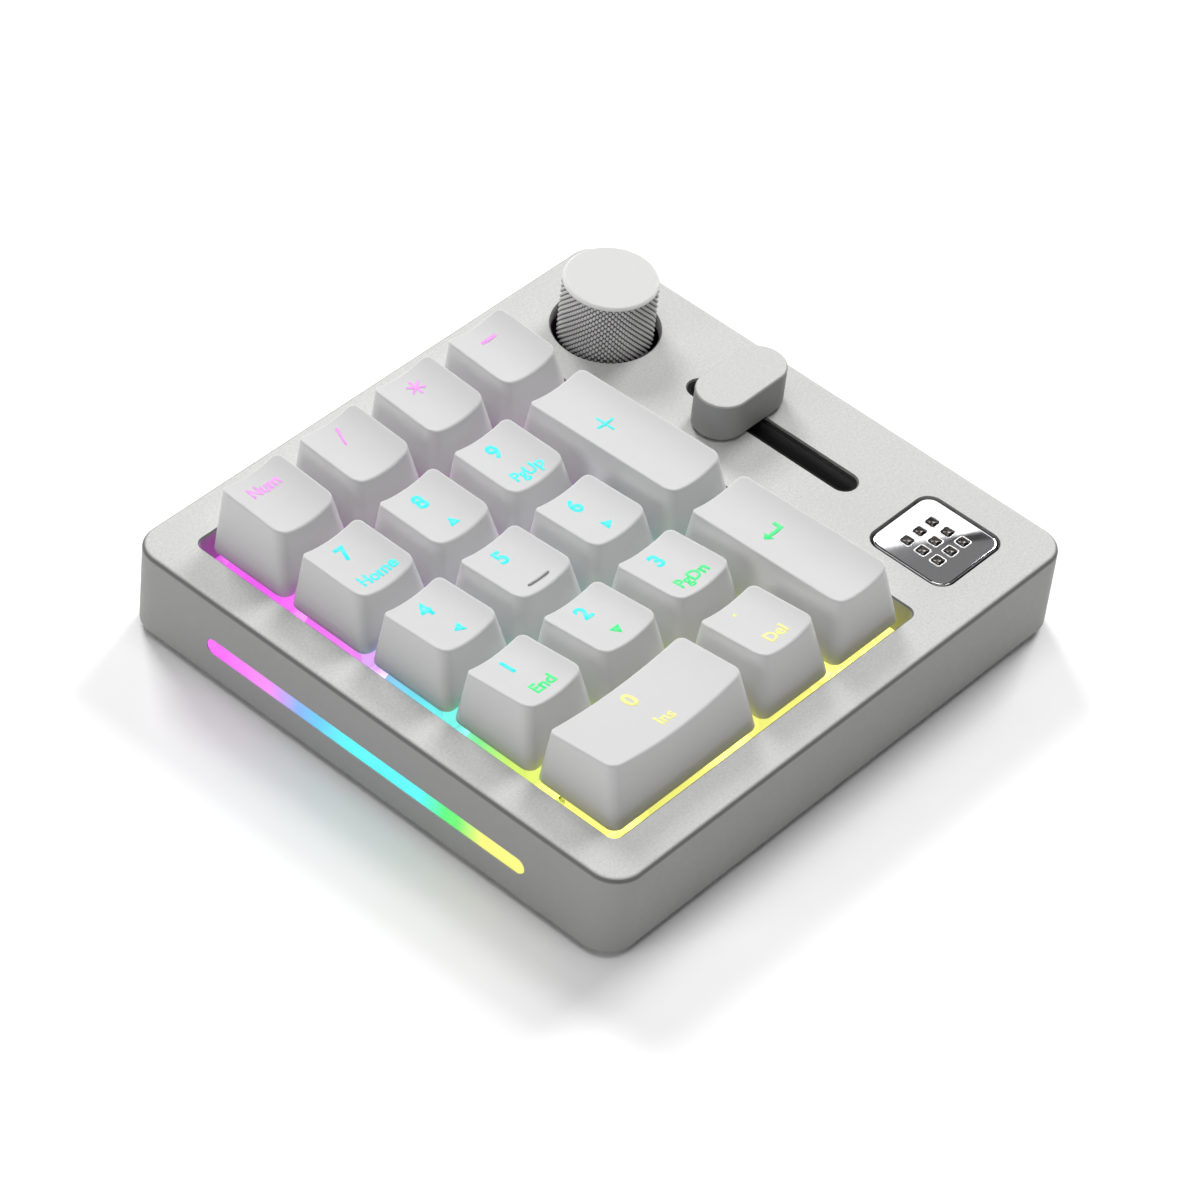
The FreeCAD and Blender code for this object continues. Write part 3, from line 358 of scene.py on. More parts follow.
def outside(tree, reach):
    """1 beyond a distance from the middle plane X = 0, and 0 inside it."""
    split = tree.nodes.new("ShaderNodeSeparateXYZ")
    tree.links.new(place_coordinates(tree), split.inputs["Vector"])
    size = tree.nodes.new("ShaderNodeMath")
    size.operation = "ABSOLUTE"
    tree.links.new(split.outputs["X"], size.inputs[0])
    return remap(tree, size.outputs["Value"], 0.0, 1.0, reach - 0.1 * MM, reach)


def lit(name, stops, strength, base, roughness=0.4, reach=None, dimmest=0.88):
    """A material that gives light, in a colour that changes along Y, with uneven brightness."""
    made, tree, shader = new_material(name)
    colour = ramp_along_y(tree, stops)
    shader.inputs["Base Color"].default_value = (*base, 1.0)
    shader.inputs["Roughness"].default_value = roughness
    uneven = tree.nodes.new("ShaderNodeMix")
    uneven.data_type = "RGBA"
    uneven.blend_type = "MULTIPLY"
    uneven.inputs["Factor"].default_value = 1.0
    tree.links.new(colour, uneven.inputs["A"])
    cloud = remap(tree, noise(tree, 5 * MM), dimmest, 1.0)
    tree.links.new(cloud, uneven.inputs["B"])
    tree.links.new(uneven.outputs["Result"], shader.inputs["Emission Color"])
    if reach is None:
        shader.inputs["Emission Strength"].default_value = strength
    else:
        power = tree.nodes.new("ShaderNodeMath")
        power.operation = "MULTIPLY"
        power.inputs[1].default_value = strength
        tree.links.new(outside(tree, reach), power.inputs[0])
        tree.links.new(power.outputs["Value"], shader.inputs["Emission Strength"])
    add_grain(tree, shader, 0.3 * MM, 0.004 * MM)
    return made


# A colour's slope colours are its walls and its rounded edges, painted darker or lighter than its top as
# painted shade or painted light.
METAL = (0.51, 0.51, 0.503)
# Painted shade: the case's walls darker than its top, and its rounded edges darkest.
METAL_SLOPE_SHADE = ((0.335, 0.335, 0.33), (0.16, 0.16, 0.158))
# Painted shade: the fader's walls and rounded edges darker than its top.
FADER_SLOPE_SHADE = ((0.26, 0.26, 0.257), (0.34, 0.34, 0.336))
KEY_GREY = (0.545, 0.545, 0.545)
# Painted light: the keycaps' walls and rounded edges paler than their tops.
KEY_SLOPE_LIGHT = ((0.72, 0.72, 0.72), (0.64, 0.64, 0.64))
KNURL_RIDGE = (0.74, 0.74, 0.73)
# Painted shade for the bottoms of the knurl's grooves.
KNURL_GROOVE_SHADE = (0.025, 0.025, 0.025)
LIT_PLASTIC = (0.3, 0.3, 0.31)
DARK_PLASTIC = (0.04, 0.04, 0.04)
# How far out the side bars start to give light.
BAR_REACH = 59.0 * MM

MATERIALS = {
    "case": finish("blasted_aluminium", METAL, 0.55, specular=0.35, grain=0.32 * MM, depth=0.045 * MM,
                   mottle=0.2, mottle_size=0.5 * MM, painted_slopes=METAL_SLOPE_SHADE),
    "cover": finish("blasted_cover", shaded(METAL, 0.92), 0.52, specular=0.35, grain=0.32 * MM,
                    depth=0.03 * MM, mottle=0.12, mottle_size=0.5 * MM),
    "knob": knurled("knurled_aluminium", shaded(METAL, 1.1), KNURL_RIDGE, KNURL_GROOVE_SHADE),
    "fader": finish("fader_aluminium", METAL, 0.55, specular=0.35, grain=0.32 * MM, depth=0.045 * MM,
                    mottle=0.16, mottle_size=0.5 * MM, painted_slopes=FADER_SLOPE_SHADE),
    "satin": finish("satin_rim", (0.85, 0.85, 0.85), 0.35, metallic=0.9, grain=0.3 * MM, depth=0.002 * MM),
    "dark_chrome": finish("dark_chrome", (0.1, 0.09, 0.085), 0.25, metallic=1.0, grain=0.4 * MM,
                          depth=0.004 * MM, mottle=0.5, mottle_size=1.2 * MM),
    "badge": finish("polished_chrome", (0.9, 0.9, 0.92), 0.02, metallic=1.0, grain=2.0 * MM,
                    depth=0.0001 * MM, mottle=0.02, roughness_spread=0.006),
    "keycap": finish("keycap_plastic", KEY_GREY, 0.5, specular=0.35, grain=0.18 * MM, depth=0.008 * MM,
                     mottle=0.015, painted_slopes=KEY_SLOPE_LIGHT),
    "homing": finish("homing_bar", shaded(KEY_GREY, 0.55), 0.5, grain=0.18 * MM, depth=0.006 * MM),
    "legend": lit("lit_legend", LEGEND_COLOURS, 1.0, DARK_PLASTIC),
    "plate": lit("lit_plate", GAP_COLOURS, 2.0, LIT_PLASTIC, dimmest=0.3),
    "bar": lit("lit_bar", BAR_COLOURS, 1.0, DARK_PLASTIC, 0.25, reach=BAR_REACH),
    "housing": lit("lit_housing", GAP_COLOURS, 0.8, LIT_PLASTIC, 0.2),
    "stem": finish("stem_plastic", (0.42, 0.03, 0.03), 0.4),
    "black": finish("black_plastic", (0.022, 0.022, 0.023), 0.45, mottle=0.2),
    "slot": black_with_painted_light("slot_black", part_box("slide_pot_body")[1].z),
    "rubber": finish("foot_rubber", (0.02, 0.02, 0.02), 0.75, grain=0.4 * MM, depth=0.03 * MM, mottle=0.2),
    "foam": finish("black_foam", (0.02, 0.02, 0.021), 0.95, grain=0.5 * MM, depth=0.08 * MM, mottle=0.3),
    "board": finish("solder_mask", (0.008, 0.014, 0.011), 0.35, grain=0.6 * MM, depth=0.01 * MM, mottle=0.3),
    "steel": finish("spring_steel", (0.62, 0.58, 0.48), 0.28, metallic=1.0, grain=0.1 * MM, depth=0.002 * MM),
    "screw": finish("zinc_screw", (0.2, 0.2, 0.21), 0.35, metallic=1.0, grain=0.2 * MM, depth=0.004 * MM),
    "shell": finish("stamped_steel", (0.6, 0.6, 0.62), 0.3, metallic=1.0, grain=0.2 * MM, depth=0.003 * MM),
    "pouch": finish("foil_pouch", (0.42, 0.43, 0.46), 0.38, metallic=0.6, grain=0.8 * MM, depth=0.02 * MM),
}

# The CAD nodes that are shown as they are, with their materials.
KEPT_NODES = {
    "top_case": "case", "bottom_cover": "cover", "cover_screws": "screw", "rubber_feet": "rubber",
    "light_bars": "bar", "switch_plate": "plate", "foam_and_gaskets": "foam", "circuit_board": "board",
    "usb_c_port": "shell", "battery": "pouch", "switch_lower_housings": "housing",
    "switch_upper_housings": "housing", "stabiliser_housings": "housing", "encoder_body": "shell",
    "encoder_rotor": "black", "encoder_shaft": "shell", "slide_pot_body": "slot",
    "slide_pot_carriage": "slot", "mode_switch_lever": "black", "slider_cap": "fader",
}


def paint_node(node, material):
    """Gives a carried-over CAD node its material."""
    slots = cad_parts[node].data.materials
    slots.clear()
    slots.append(MATERIALS[material])


# ---------------------------------------------------------------- meshes
WELD = 0.001 * MM


def add_piece(name, bm, material, body, replaced=()):
    """Turns a bmesh in the frame's coordinates into a piece on a body."""
    bmesh.ops.recalc_face_normals(bm, faces=bm.faces)
    mesh = bpy.data.meshes.new(name)
    bm.to_mesh(mesh)
    bm.free()
    mesh.shade_smooth()
    mesh.materials.append(MATERIALS[material])
    piece = bpy.data.objects.new(name, mesh)
    bpy.context.scene.collection.objects.link(piece)
    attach(piece, body)
    if replaced:
        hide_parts(*replaced)
    return piece


def stitch(bm, rings, close_low, close_high):
    """Joins rings of equal length with quads, and closes the ends with a fan to a middle point."""
    rows = [[bm.verts.new(point) for point in ring] for ring in rings]
    count = len(rows[0])
    for low, high in zip(rows, rows[1:]):
        for index in range(count):
            after = (index + 1) % count
            bm.faces.new((low[index], low[after], high[after], high[index]))
    for row, middle in ((rows[0], close_low), (rows[-1], close_high)):
        if middle is not None:
            hub = bm.verts.new(middle)
            for index in range(count):
                bm.faces.new((row[index], row[(index + 1) % count], hub))


ARC_STEPS = 7
EDGE_STEPS = 14


def outline(half_x, front, back, corner, back_corner=None):
    """Points and outward directions round a rectangle with round corners, the same count for any size."""
    middle = (front + back) / 2
    half_y = (back - front) / 2
    back_corner = corner if back_corner is None else back_corner
    quarters = [(1, 1, back_corner), (-1, 1, back_corner), (-1, -1, corner), (1, -1, corner)]
    hubs = [(Vector((x * (half_x - size), middle + y * (half_y - size))), size) for x, y, size in quarters]
    points = []
    for quarter, (hub, size) in enumerate(hubs):
        for step in range(ARC_STEPS + 1):
            angle = math.radians(90) * (quarter + step / ARC_STEPS)
            direction = Vector((math.cos(angle), math.sin(angle)))
            points.append((hub + direction * size, direction))
        next_hub, next_size = hubs[(quarter + 1) % 4]
        start, direction = points[-1]
        end = next_hub + direction * next_size
        points += [(start.lerp(end, step / EDGE_STEPS), direction) for step in range(1, EDGE_STEPS)]
    return points


# ---------------------------------------------------------------- keycaps
# Each row's top face, as in the CAD: height above the case at its front and back edges, and how far those
# edges stand in from the skirt, in millimetres.
NUM_ROW = (10.5, 11.4, 4.0, -0.25)
TOP_ROW = (9.05, 9.15, 3.95, 0.05)
MIDDLE_ROW = (9.7, 8.85, 3.85, 0.25)
LOW_ROW = (10.5, 8.85, 3.7, 0.4)
TALL_KEYS = (11.0, 9.85, 3.05, 0.8)
# A key is wide from this half width on. Its top stands in less at the sides, and is scooped deeper.
WIDE_FROM = 15 * MM
SIDE_INSET, WIDE_SIDE_INSET = 2.1 * MM, 1.85 * MM
SCOOP, WIDE_SCOOP = 1.25 * MM, 1.7 * MM
SKIRT_CORNER = 2.1 * MM
TOP_FRONT_CORNER = 2.0 * MM
TOP_BACK_CORNER = 1.5 * MM
RIM_ROUND = 0.38 * MM
CAP_WALL = 1.4 * MM
BACK_WALL_EXTRA = 0.6 * MM
SKIRT_LIP = 0.15 * MM
RIM_SEARCH_STEPS = 24
# Where the cap's rings lie: shares of the way up its walls, round its rim, and from its middle to its rim.
WALL_SHARES = (0.02, 0.25, 0.5, 0.75, 0.97)
ROUND_SHARES = (0.25, 0.5, 0.75)
INWARD_SHARES = (0.975, 0.9, 0.74, 0.55, 0.35, 0.16)
BOSS_RADIUS = 2.7 * MM
BOSS_BORE = 2.2 * MM
BOSS_SIDES = 24
BOSS_INTO_ROOF = 0.1 * MM
BOSS_ABOVE_SKIRT = 0.25 * MM
# Stabiliser stems stand this far from a key's middle, on stems whose half size is over the limit.
STABILISER_REACH = 11.94 * MM
LONG_STEM = 8 * MM

NUMERAL_PLACE = (-0.4, 5.0)
SUBLEGEND_PLACE = (0.3, -2.2)
SYMBOL_PLACE = (0.1, 5.3)
# Name, top profile, and legends: each is a word or a drawn sign, and its place from the key's middle in mm.
KEYS = [
    ("num", NUM_ROW, [("Num", (-0.2, 5.4), "word")]),
    ("divide", NUM_ROW, [("/", SYMBOL_PLACE, "symbol")]),
    ("multiply", NUM_ROW, [("*", SYMBOL_PLACE, "symbol")]),
    ("minus", NUM_ROW, [("-", SYMBOL_PLACE, "symbol")]),
    ("seven", TOP_ROW, [("7", NUMERAL_PLACE, "numeral"), ("Home", SUBLEGEND_PLACE, "word")]),
    ("eight", TOP_ROW, [("8", NUMERAL_PLACE, "numeral"), ("up", SUBLEGEND_PLACE, "arrow")]),
    ("nine", TOP_ROW, [("9", NUMERAL_PLACE, "numeral"), ("PgUp", SUBLEGEND_PLACE, "word")]),
    ("plus", TALL_KEYS, [("+", (-0.5, 5.2), "symbol")]),
    ("four", MIDDLE_ROW, [("4", NUMERAL_PLACE, "numeral"), ("left", SUBLEGEND_PLACE, "arrow")]),
    ("five", MIDDLE_ROW, [("5", NUMERAL_PLACE, "numeral")]),
    ("six", MIDDLE_ROW, [("6", NUMERAL_PLACE, "numeral"), ("right", SUBLEGEND_PLACE, "arrow")]),
    ("one", LOW_ROW, [("1", NUMERAL_PLACE, "numeral"), ("End", SUBLEGEND_PLACE, "word")]),
    ("two", LOW_ROW, [("2", NUMERAL_PLACE, "numeral"), ("down", SUBLEGEND_PLACE, "arrow")]),
    ("three", LOW_ROW, [("3", NUMERAL_PLACE, "numeral"), ("PgDn", SUBLEGEND_PLACE, "word")]),
    ("enter", TALL_KEYS, [("return", (-0.2, 4.7), "arrow")]),
    ("zero", LOW_ROW, [("0", NUMERAL_PLACE, "numeral"), ("Ins", SUBLEGEND_PLACE, "word")]),
    ("decimal", LOW_ROW, [(".", (-0.7, 5.9), "symbol"), ("Del", SUBLEGEND_PLACE, "word")]),
]


class CapShape:
    """The shape of one keycap, from its CAD box and its row's heights. Plan places are from its middle."""

    def __init__(self, key, profile):
        low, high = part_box(f"{key}_keycap")
        stem_low, stem_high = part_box(f"{key}_stem")
        self.middle = ((stem_low + stem_high) / 2).xy
        self.floor = low.z
        self.half_x = high.x - self.middle.x
        self.half_y = self.middle.y - low.y
        wide = self.half_x > WIDE_FROM
        front_height, back_height, front_inset, back_inset = (value * MM for value in profile)
        self.front = -self.half_y + front_inset
        self.back = self.half_y - back_inset
        self.top_y = (self.front + self.back) / 2
        self.front_z, self.back_z = CASE_TOP + front_height, CASE_TOP + back_height
        self.top_half = self.half_x - (WIDE_SIDE_INSET if wide else SIDE_INSET)
        self.sink = WIDE_SCOOP if wide else SCOOP
        self.radius = (self.top_half ** 2 + self.sink ** 2) / (2 * self.sink)

    def plane_z(self, y):
        """Height of the sloping plane through the four top corners."""
        share = (y - self.front) / (self.back - self.front)
        return self.front_z + share * (self.back_z - self.front_z)

    def top_z(self, x, y):
        """Height of the scooped top face."""
        across = min(abs(x), self.top_half)
        return self.plane_z(y) + self.radius - self.sink - math.sqrt(self.radius ** 2 - across ** 2)

    def place(self, x, y, z):
        """A point of the cap in the frame."""
        return Vector((self.middle.x + x, self.middle.y + y, z))

    def wall_lines(self):
        """The straight lines up the walls, as pairs of points with the direction out of the wall."""
        skirt = outline(self.half_x, -self.half_y, self.half_y, SKIRT_CORNER)
        top = outline(self.top_half, self.front, self.back, TOP_FRONT_CORNER, TOP_BACK_CORNER)
        for (low, direction), (high, _) in zip(skirt, top):
            yield (Vector((low.x, low.y, self.floor)), Vector((high.x, high.y, self.plane_z(high.y))),
                   direction)

    def rim_point(self, low, high):
        """Where a wall line meets the scooped top face."""
        near, far = 0.5, 1.0
        for _ in range(RIM_SEARCH_STEPS):
            middle = (near + far) / 2
            point = low.lerp(high, middle)
            if point.z < self.top_z(point.x, point.y):
                near = middle
            else:
                far = middle
        return low.lerp(high, near)


def cap_rings(shape):
    """The cap's outer surface as rings, from the skirt up and over the rounded rim to the top face."""
    rings = [[] for _ in range(3 + len(WALL_SHARES) + len(ROUND_SHARES) + len(INWARD_SHARES))]
    for low, high, direction in shape.wall_lines():
        rim = shape.rim_point(low, high)
        down = (low - rim).normalized() * RIM_ROUND
        inside = rim.xy - direction * RIM_ROUND
        landing = Vector((inside.x, inside.y, shape.top_z(inside.x, inside.y)))
        below = rim + down
        column = [low - Vector((direction.x, direction.y, 0)) * SKIRT_LIP]
        column += [low.lerp(below, share) for share in WALL_SHARES]
        column.append(below)
        for share in ROUND_SHARES:
            column.append(below.lerp(rim, share).lerp(rim.lerp(landing, share), share))
        column.append(landing)
        for share in INWARD_SHARES:
            x = inside.x * share
            y = (inside.y - shape.top_y) * share + shape.top_y
            column.append(Vector((x, y, shape.top_z(x, y))))
        for ring, point in zip(rings, column):
            ring.append(shape.place(*point))
    return rings


def inner_rings(shape):
    """The hollow inside, from the roof down to the skirt."""
    roof = min(shape.front_z, shape.back_z) - shape.sink - CAP_WALL
    skirt = outline(shape.half_x - CAP_WALL, -shape.half_y + CAP_WALL, shape.half_y - CAP_WALL,
                    SKIRT_CORNER - CAP_WALL)
    top = outline(shape.top_half - CAP_WALL, shape.front + CAP_WALL,
                  shape.back - CAP_WALL - BACK_WALL_EXTRA, SKIRT_CORNER - CAP_WALL)
    high = [shape.place(p.x, p.y, roof) for p, _ in top]
    low = [shape.place(p.x, p.y, shape.floor) for p, _ in skirt]
    return [high, low], shape.place(0, shape.top_y, roof)


def add_keycap(key, profile):
    """A hollow keycap with a scooped top, a rounded rim, and bosses inside for its stems. Gives its shape."""
    shape = CapShape(key, profile)
    bm = bmesh.new()
    outer = cap_rings(shape)
    inner, roof_middle = inner_rings(shape)
    top_middle = shape.place(0, shape.top_y, shape.top_z(0, shape.top_y))
    stitch(bm, inner + outer, roof_middle, top_middle)
    add_piece(f"{key}_cap", bm, "keycap", f"{key}_key", [f"{key}_keycap"])
    add_bosses(key, shape, roof_middle.z)
    return shape


def add_bosses(key, shape, roof):
    """The round bosses that grip the stems, as tubes with an open lower end."""
    low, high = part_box(f"{key}_stem")
    span_x, span_y = (high.x - low.x) / 2, (high.y - low.y) / 2
    offsets = [Vector((0, 0))]
    if span_x > LONG_STEM:
        offsets += [Vector((STABILISER_REACH, 0)), Vector((-STABILISER_REACH, 0))]
    if span_y > LONG_STEM:
        offsets += [Vector((0, STABILISER_REACH)), Vector((0, -STABILISER_REACH))]
    bm = bmesh.new()
    foot = shape.floor + BOSS_ABOVE_SKIRT
    head = roof + BOSS_INTO_ROOF
    for offset in offsets:
        rings = []
        for radius, z in ((BOSS_BORE, head), (BOSS_BORE, foot), (BOSS_RADIUS, foot), (BOSS_RADIUS, head)):
            rings.append([shape.place(offset.x + radius * math.cos(a), offset.y + radius * math.sin(a), z)
                          for a in (math.tau * k / BOSS_SIDES for k in range(BOSS_SIDES))])
        stitch(bm, rings + [rings[0]], None, None)
    bmesh.ops.remove_doubles(bm, verts=bm.verts, dist=WELD)
    add_piece(f"{key}_cap_bosses", bm, "keycap", f"{key}_key")


# ---------------------------------------------------------------- legends
LEGEND_HEIGHT = {"numeral": 3.3 * MM, "word": 2.45 * MM}
LEGEND_DEPTH = 0.03 * MM
LEGEND_PROUD = 0.035 * MM
STROKE_GROWTH = {"numeral": 0.034, "word": 0.026}
# Height of a capital in lettering of size 1.
CAPITAL_HEIGHT = 0.72
SYMBOL_SIDES = 16
# Each bar of a symbol lies this much above the last.
BAR_STEP = 0.004 * MM


def text_outline(words, height, growth):
    """A mesh of words in plain lettering, centred on the origin, with capitals of a given height."""
    curve = bpy.data.curves.new("lettering", "FONT")
    curve.body = words
    curve.size = 1.0
    curve.align_x = "CENTER"
    curve.extrude = 0.02
    curve.offset = growth
    curve.resolution_u = 4
    holder = bpy.data.objects.new("lettering", curve)
    bpy.context.scene.collection.objects.link(holder)
    bpy.context.view_layer.update()
    mesh = bpy.data.meshes.new_from_object(holder.evaluated_get(bpy.context.evaluated_depsgraph_get()))
    bpy.data.objects.remove(holder)
    bm = bmesh.new()
    bm.from_mesh(mesh)
    bpy.data.meshes.remove(mesh)
    bmesh.ops.remove_doubles(bm, verts=bm.verts, dist=1e-5)
    scale = height / CAPITAL_HEIGHT
    for vert in bm.verts:
        side = 1 if vert.co.z > 0 else -1
        vert.co = Vector((vert.co.x * scale, (vert.co.y - CAPITAL_HEIGHT / 2) * scale,
                          side * LEGEND_DEPTH / 2))
    return bm


def flat_shape(points):
    """A thin plate on an outline of points in millimetres."""
    bm = bmesh.new()
    rings = [[Vector((x * MM, y * MM, z)) for x, y in points] for z in (-LEGEND_DEPTH / 2, LEGEND_DEPTH / 2)]
    stitch(bm, rings, None, None)
    bm.verts.ensure_lookup_table()
    count = len(points)
    bm.faces.new(bm.verts[:count])
    bm.faces.new(bm.verts[count:])
    return bm


ARROW_TURNS = {"up": 0, "left": 90, "down": 180, "right": 270}
# Each drawn symbol is a set of bars: length, width, and angle from +X in degrees.
SYMBOL_BARS = {
    "+": [(4.3, 0.5, 0), (4.3, 0.5, 90)],
    "-": [(3.8, 0.7, 0)],
    "/": [(4.4, 0.5, 68)],
    "*": [(3.7, 0.45, 90), (3.7, 0.45, 30), (3.7, 0.45, 150)],
    ".": [(0.75, 0.7, 0)],
}


def symbol_shape(sign):
    """A symbol as thin bars with round ends, each a little higher than the last so that none coincide."""
    whole = bmesh.new()
    for index, (length, width, angle) in enumerate(SYMBOL_BARS[sign]):
        turn = math.radians(angle)
        points = []
        for step in range(SYMBOL_SIDES):
            around = math.tau * (step + 0.5) / SYMBOL_SIDES
            x = math.cos(around) * width / 2 + math.copysign((length - width) / 2, math.cos(around))
            y = math.sin(around) * width / 2
            points.append((x * math.cos(turn) - y * math.sin(turn),
                           x * math.sin(turn) + y * math.cos(turn)))
        bar = flat_shape(points)
        bmesh.ops.translate(bar, verts=bar.verts, vec=(0, 0, index * BAR_STEP))
        mesh = bpy.data.meshes.new("bar")
        bar.to_mesh(mesh)
        bar.free()
        whole.from_mesh(mesh)
        bpy.data.meshes.remove(mesh)
    return whole


def arrow_shape(kind):
    """A solid triangle pointing one way, or the hooked return arrow."""
    if kind == "return":
        return flat_shape([(-2.5, -0.2), (-1.0, 0.9), (-1.0, 0.15), (1.75, 0.15), (1.75, 1.5), (2.45, 1.5),
                           (2.45, -0.55), (-1.0, -0.55), (-1.0, -1.3)])
    bm = flat_shape([(-1.15, -0.85), (1.15, -0.85), (0, 1.15)])
    bmesh.ops.rotate(bm, verts=bm.verts, matrix=Matrix.Rotation(math.radians(ARROW_TURNS[kind]), 3, "Z"))
    return bm


def add_legend(key, index, shape, words, place, kind):
    """One lit legend, laid on the scooped top of its keycap."""
    if kind == "arrow":
        bm = arrow_shape(words)
    elif kind == "symbol":
        bm = symbol_shape(words)
    else:
        bm = text_outline(words, LEGEND_HEIGHT[kind], STROKE_GROWTH[kind])
    for vert in bm.verts:
        x, y = vert.co.x + place[0] * MM, vert.co.y + place[1] * MM
        vert.co = shape.place(x, y, shape.top_z(x, y) + LEGEND_PROUD + vert.co.z)
    add_piece(f"{key}_legend_{index}", bm, "legend", f"{key}_key")


HOMING_HALF_LENGTH = 2.6 * MM
HOMING_HALF_WIDTH = 0.26 * MM
HOMING_INSET = 1.8 * MM
HOMING_DEPTH = 0.3
# Height of each ring of the bar above the cap, and how much smaller than the bar it is, in millimetres.
HOMING_RINGS = ((-HOMING_DEPTH, 0.0), (0.12, 0.0), (0.24, 0.05), (HOMING_DEPTH, 0.14))


def add_homing_bar(shape):
    """The small raised bar near the front edge of the middle key, so that a finger finds it."""
    bm = bmesh.new()
    middle_y = shape.front + HOMING_INSET
    rings = []
    for height, shrink in HOMING_RINGS:
        ring = []
        half_width = HOMING_HALF_WIDTH - shrink * MM
        for point, _ in outline(HOMING_HALF_LENGTH - shrink * MM, -half_width, half_width,
                                half_width - 0.01 * MM):
            y = middle_y + point.y
            ring.append(shape.place(point.x, y, shape.top_z(point.x, y) + height * MM))
        rings.append(ring)
    low = shape.place(0, middle_y, shape.top_z(0, middle_y) - HOMING_DEPTH * MM)
    high = shape.place(0, middle_y, shape.top_z(0, middle_y) + HOMING_DEPTH * MM)
    stitch(bm, rings, low, high)
    add_piece("five_homing_bar", bm, "homing", "five_key")


# ---------------------------------------------------------------- knob, badge and springs
KNURLS_AROUND = 48
KNURL_DEPTH = 0.5 * MM
# Half width of a groove, as a share of the distance from groove to groove.
KNURL_GROOVE = 0.36
STEPS_PER_KNURL = 6
KNURL_FROM_BOTTOM = 0.4 * MM
KNURL_FROM_TOP = 0.62 * MM
# Rings above the knurl, round the bevel and over the face: how far in from the side, and how far down.
KNOB_TOP_RINGS = ((0.1, 0.56), (0.1, 0.5), (0.16, 0.36), (0.36, 0.14), (0.5, 0.04), (0.64, 0.0),
                  (0.8, 0.0), (2.0, 0.0), (5.0, 0.0))


def add_knob():
    """The knob: a diamond-knurled side, a narrow bevel and a flat face."""
    low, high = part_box("knob")
    middle = Vector(((low.x + high.x) / 2, (low.y + high.y) / 2, 0))
    radius = (high.x - low.x) / 2
    count = KNURLS_AROUND * STEPS_PER_KNURL
    step_up = math.tau * radius / count
    bottom, top = low.z + KNURL_FROM_BOTTOM, high.z - KNURL_FROM_TOP

    def point(size, k, z):
        angle = math.tau * k / count
        return middle + Vector((size * math.cos(angle), size * math.sin(angle), z))

    def ring(inset, z):
        return [point(radius - inset, k, z) for k in range(count)]

    def groove(steps):
        share = steps / STEPS_PER_KNURL % 1.0
        return max(0.0, 1.0 - min(share, 1.0 - share) / KNURL_GROOVE)

    rings = [ring(0.9 * MM, low.z), ring(0.5 * MM, low.z), ring(0.42 * MM, low.z + 0.2 * MM)]
    for row in range(int((top - bottom) / step_up) + 1):
        rings.append([point(radius - KNURL_DEPTH * max(groove(k + row), groove(k - row)), k,
                            bottom + row * step_up) for k in range(count)])
    for inset, drop in KNOB_TOP_RINGS:
        rings.append(ring(inset * MM, high.z - drop * MM))
    bm = bmesh.new()
    stitch(bm, rings, middle + Vector((0, 0, low.z + 1.5 * MM)), middle + Vector((0, 0, high.z)))
    add_piece("knob_body", bm, "knob", "knob", ["knob"])


BADGE_GAP = 0.42 * MM
BADGE_CORNER = 3.0 * MM
SMALLEST_BADGE_CORNER = 0.3 * MM
BADGE_GAP_DEPTH = 0.9 * MM
BADGE_UNDERLAP = 0.1 * MM
# Rings over the badge's edge: how far in from its side, and how far down from its face, in millimetres.
BADGE_TOP_RINGS = ((0.0, 0.2), (0.02, 0.14), (0.14, 0.02), (0.2, 0.0), (0.4, 0.0), (3.0, 0.0))
GRID_PITCH = 3.5 * MM
GRID_HALF = 1.3 * MM
GRID_RIM = 0.26 * MM
GRID_OUTER_CORNER, GRID_CREST_CORNER, GRID_INNER_CORNER = 0.6 * MM, 0.5 * MM, 0.4 * MM
GRID_SUNK, GRID_EDGE, GRID_CREST, GRID_WELL = 0.1 * MM, 0.03 * MM, 0.08 * MM, 0.01 * MM


def rounded_square(middle, half, corner, z):
    """A ring of points round a square with round corners, at a height."""
    return [middle + Vector((p.x, p.y, z)) for p, _ in outline(half, -half, half, corner)]


def add_badge():
    """The polished badge with a bevelled edge, in a narrow gap lined black as painted shade."""
    low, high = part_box("badge")
    middle = Vector(((low.x + high.x) / 2, (low.y + high.y) / 2, 0))
    whole = (high.x - low.x) / 2
    half = whole - BADGE_GAP
    top = high.z
    rings = [rounded_square(middle, half, BADGE_CORNER - BADGE_GAP, low.z)]
    for inset, drop in BADGE_TOP_RINGS:
        corner = max(BADGE_CORNER - BADGE_GAP - inset * MM, SMALLEST_BADGE_CORNER)
        rings.append(rounded_square(middle, half - inset * MM, corner, top - drop * MM))
    bm = bmesh.new()
    stitch(bm, rings, middle + Vector((0, 0, low.z)), middle + Vector((0, 0, top)))
    add_piece("badge_plate", bm, "badge", "case", ["badge"])
    # Painted shade: a black lining in the gap round the badge.
    gap = bmesh.new()
    inner, gap_top = half - BADGE_UNDERLAP, top - BADGE_GAP_DEPTH
    loop = [rounded_square(middle, inner, BADGE_CORNER - BADGE_GAP, low.z),
            rounded_square(middle, whole, BADGE_CORNER, low.z),
            rounded_square(middle, whole, BADGE_CORNER, gap_top),
            rounded_square(middle, inner, BADGE_CORNER - BADGE_GAP, gap_top)]
    stitch(gap, loop + [loop[0]], None, None)
    bmesh.ops.remove_doubles(gap, verts=gap.verts, dist=WELD)
    add_piece("badge_gap_shade", gap, "foam", "case")


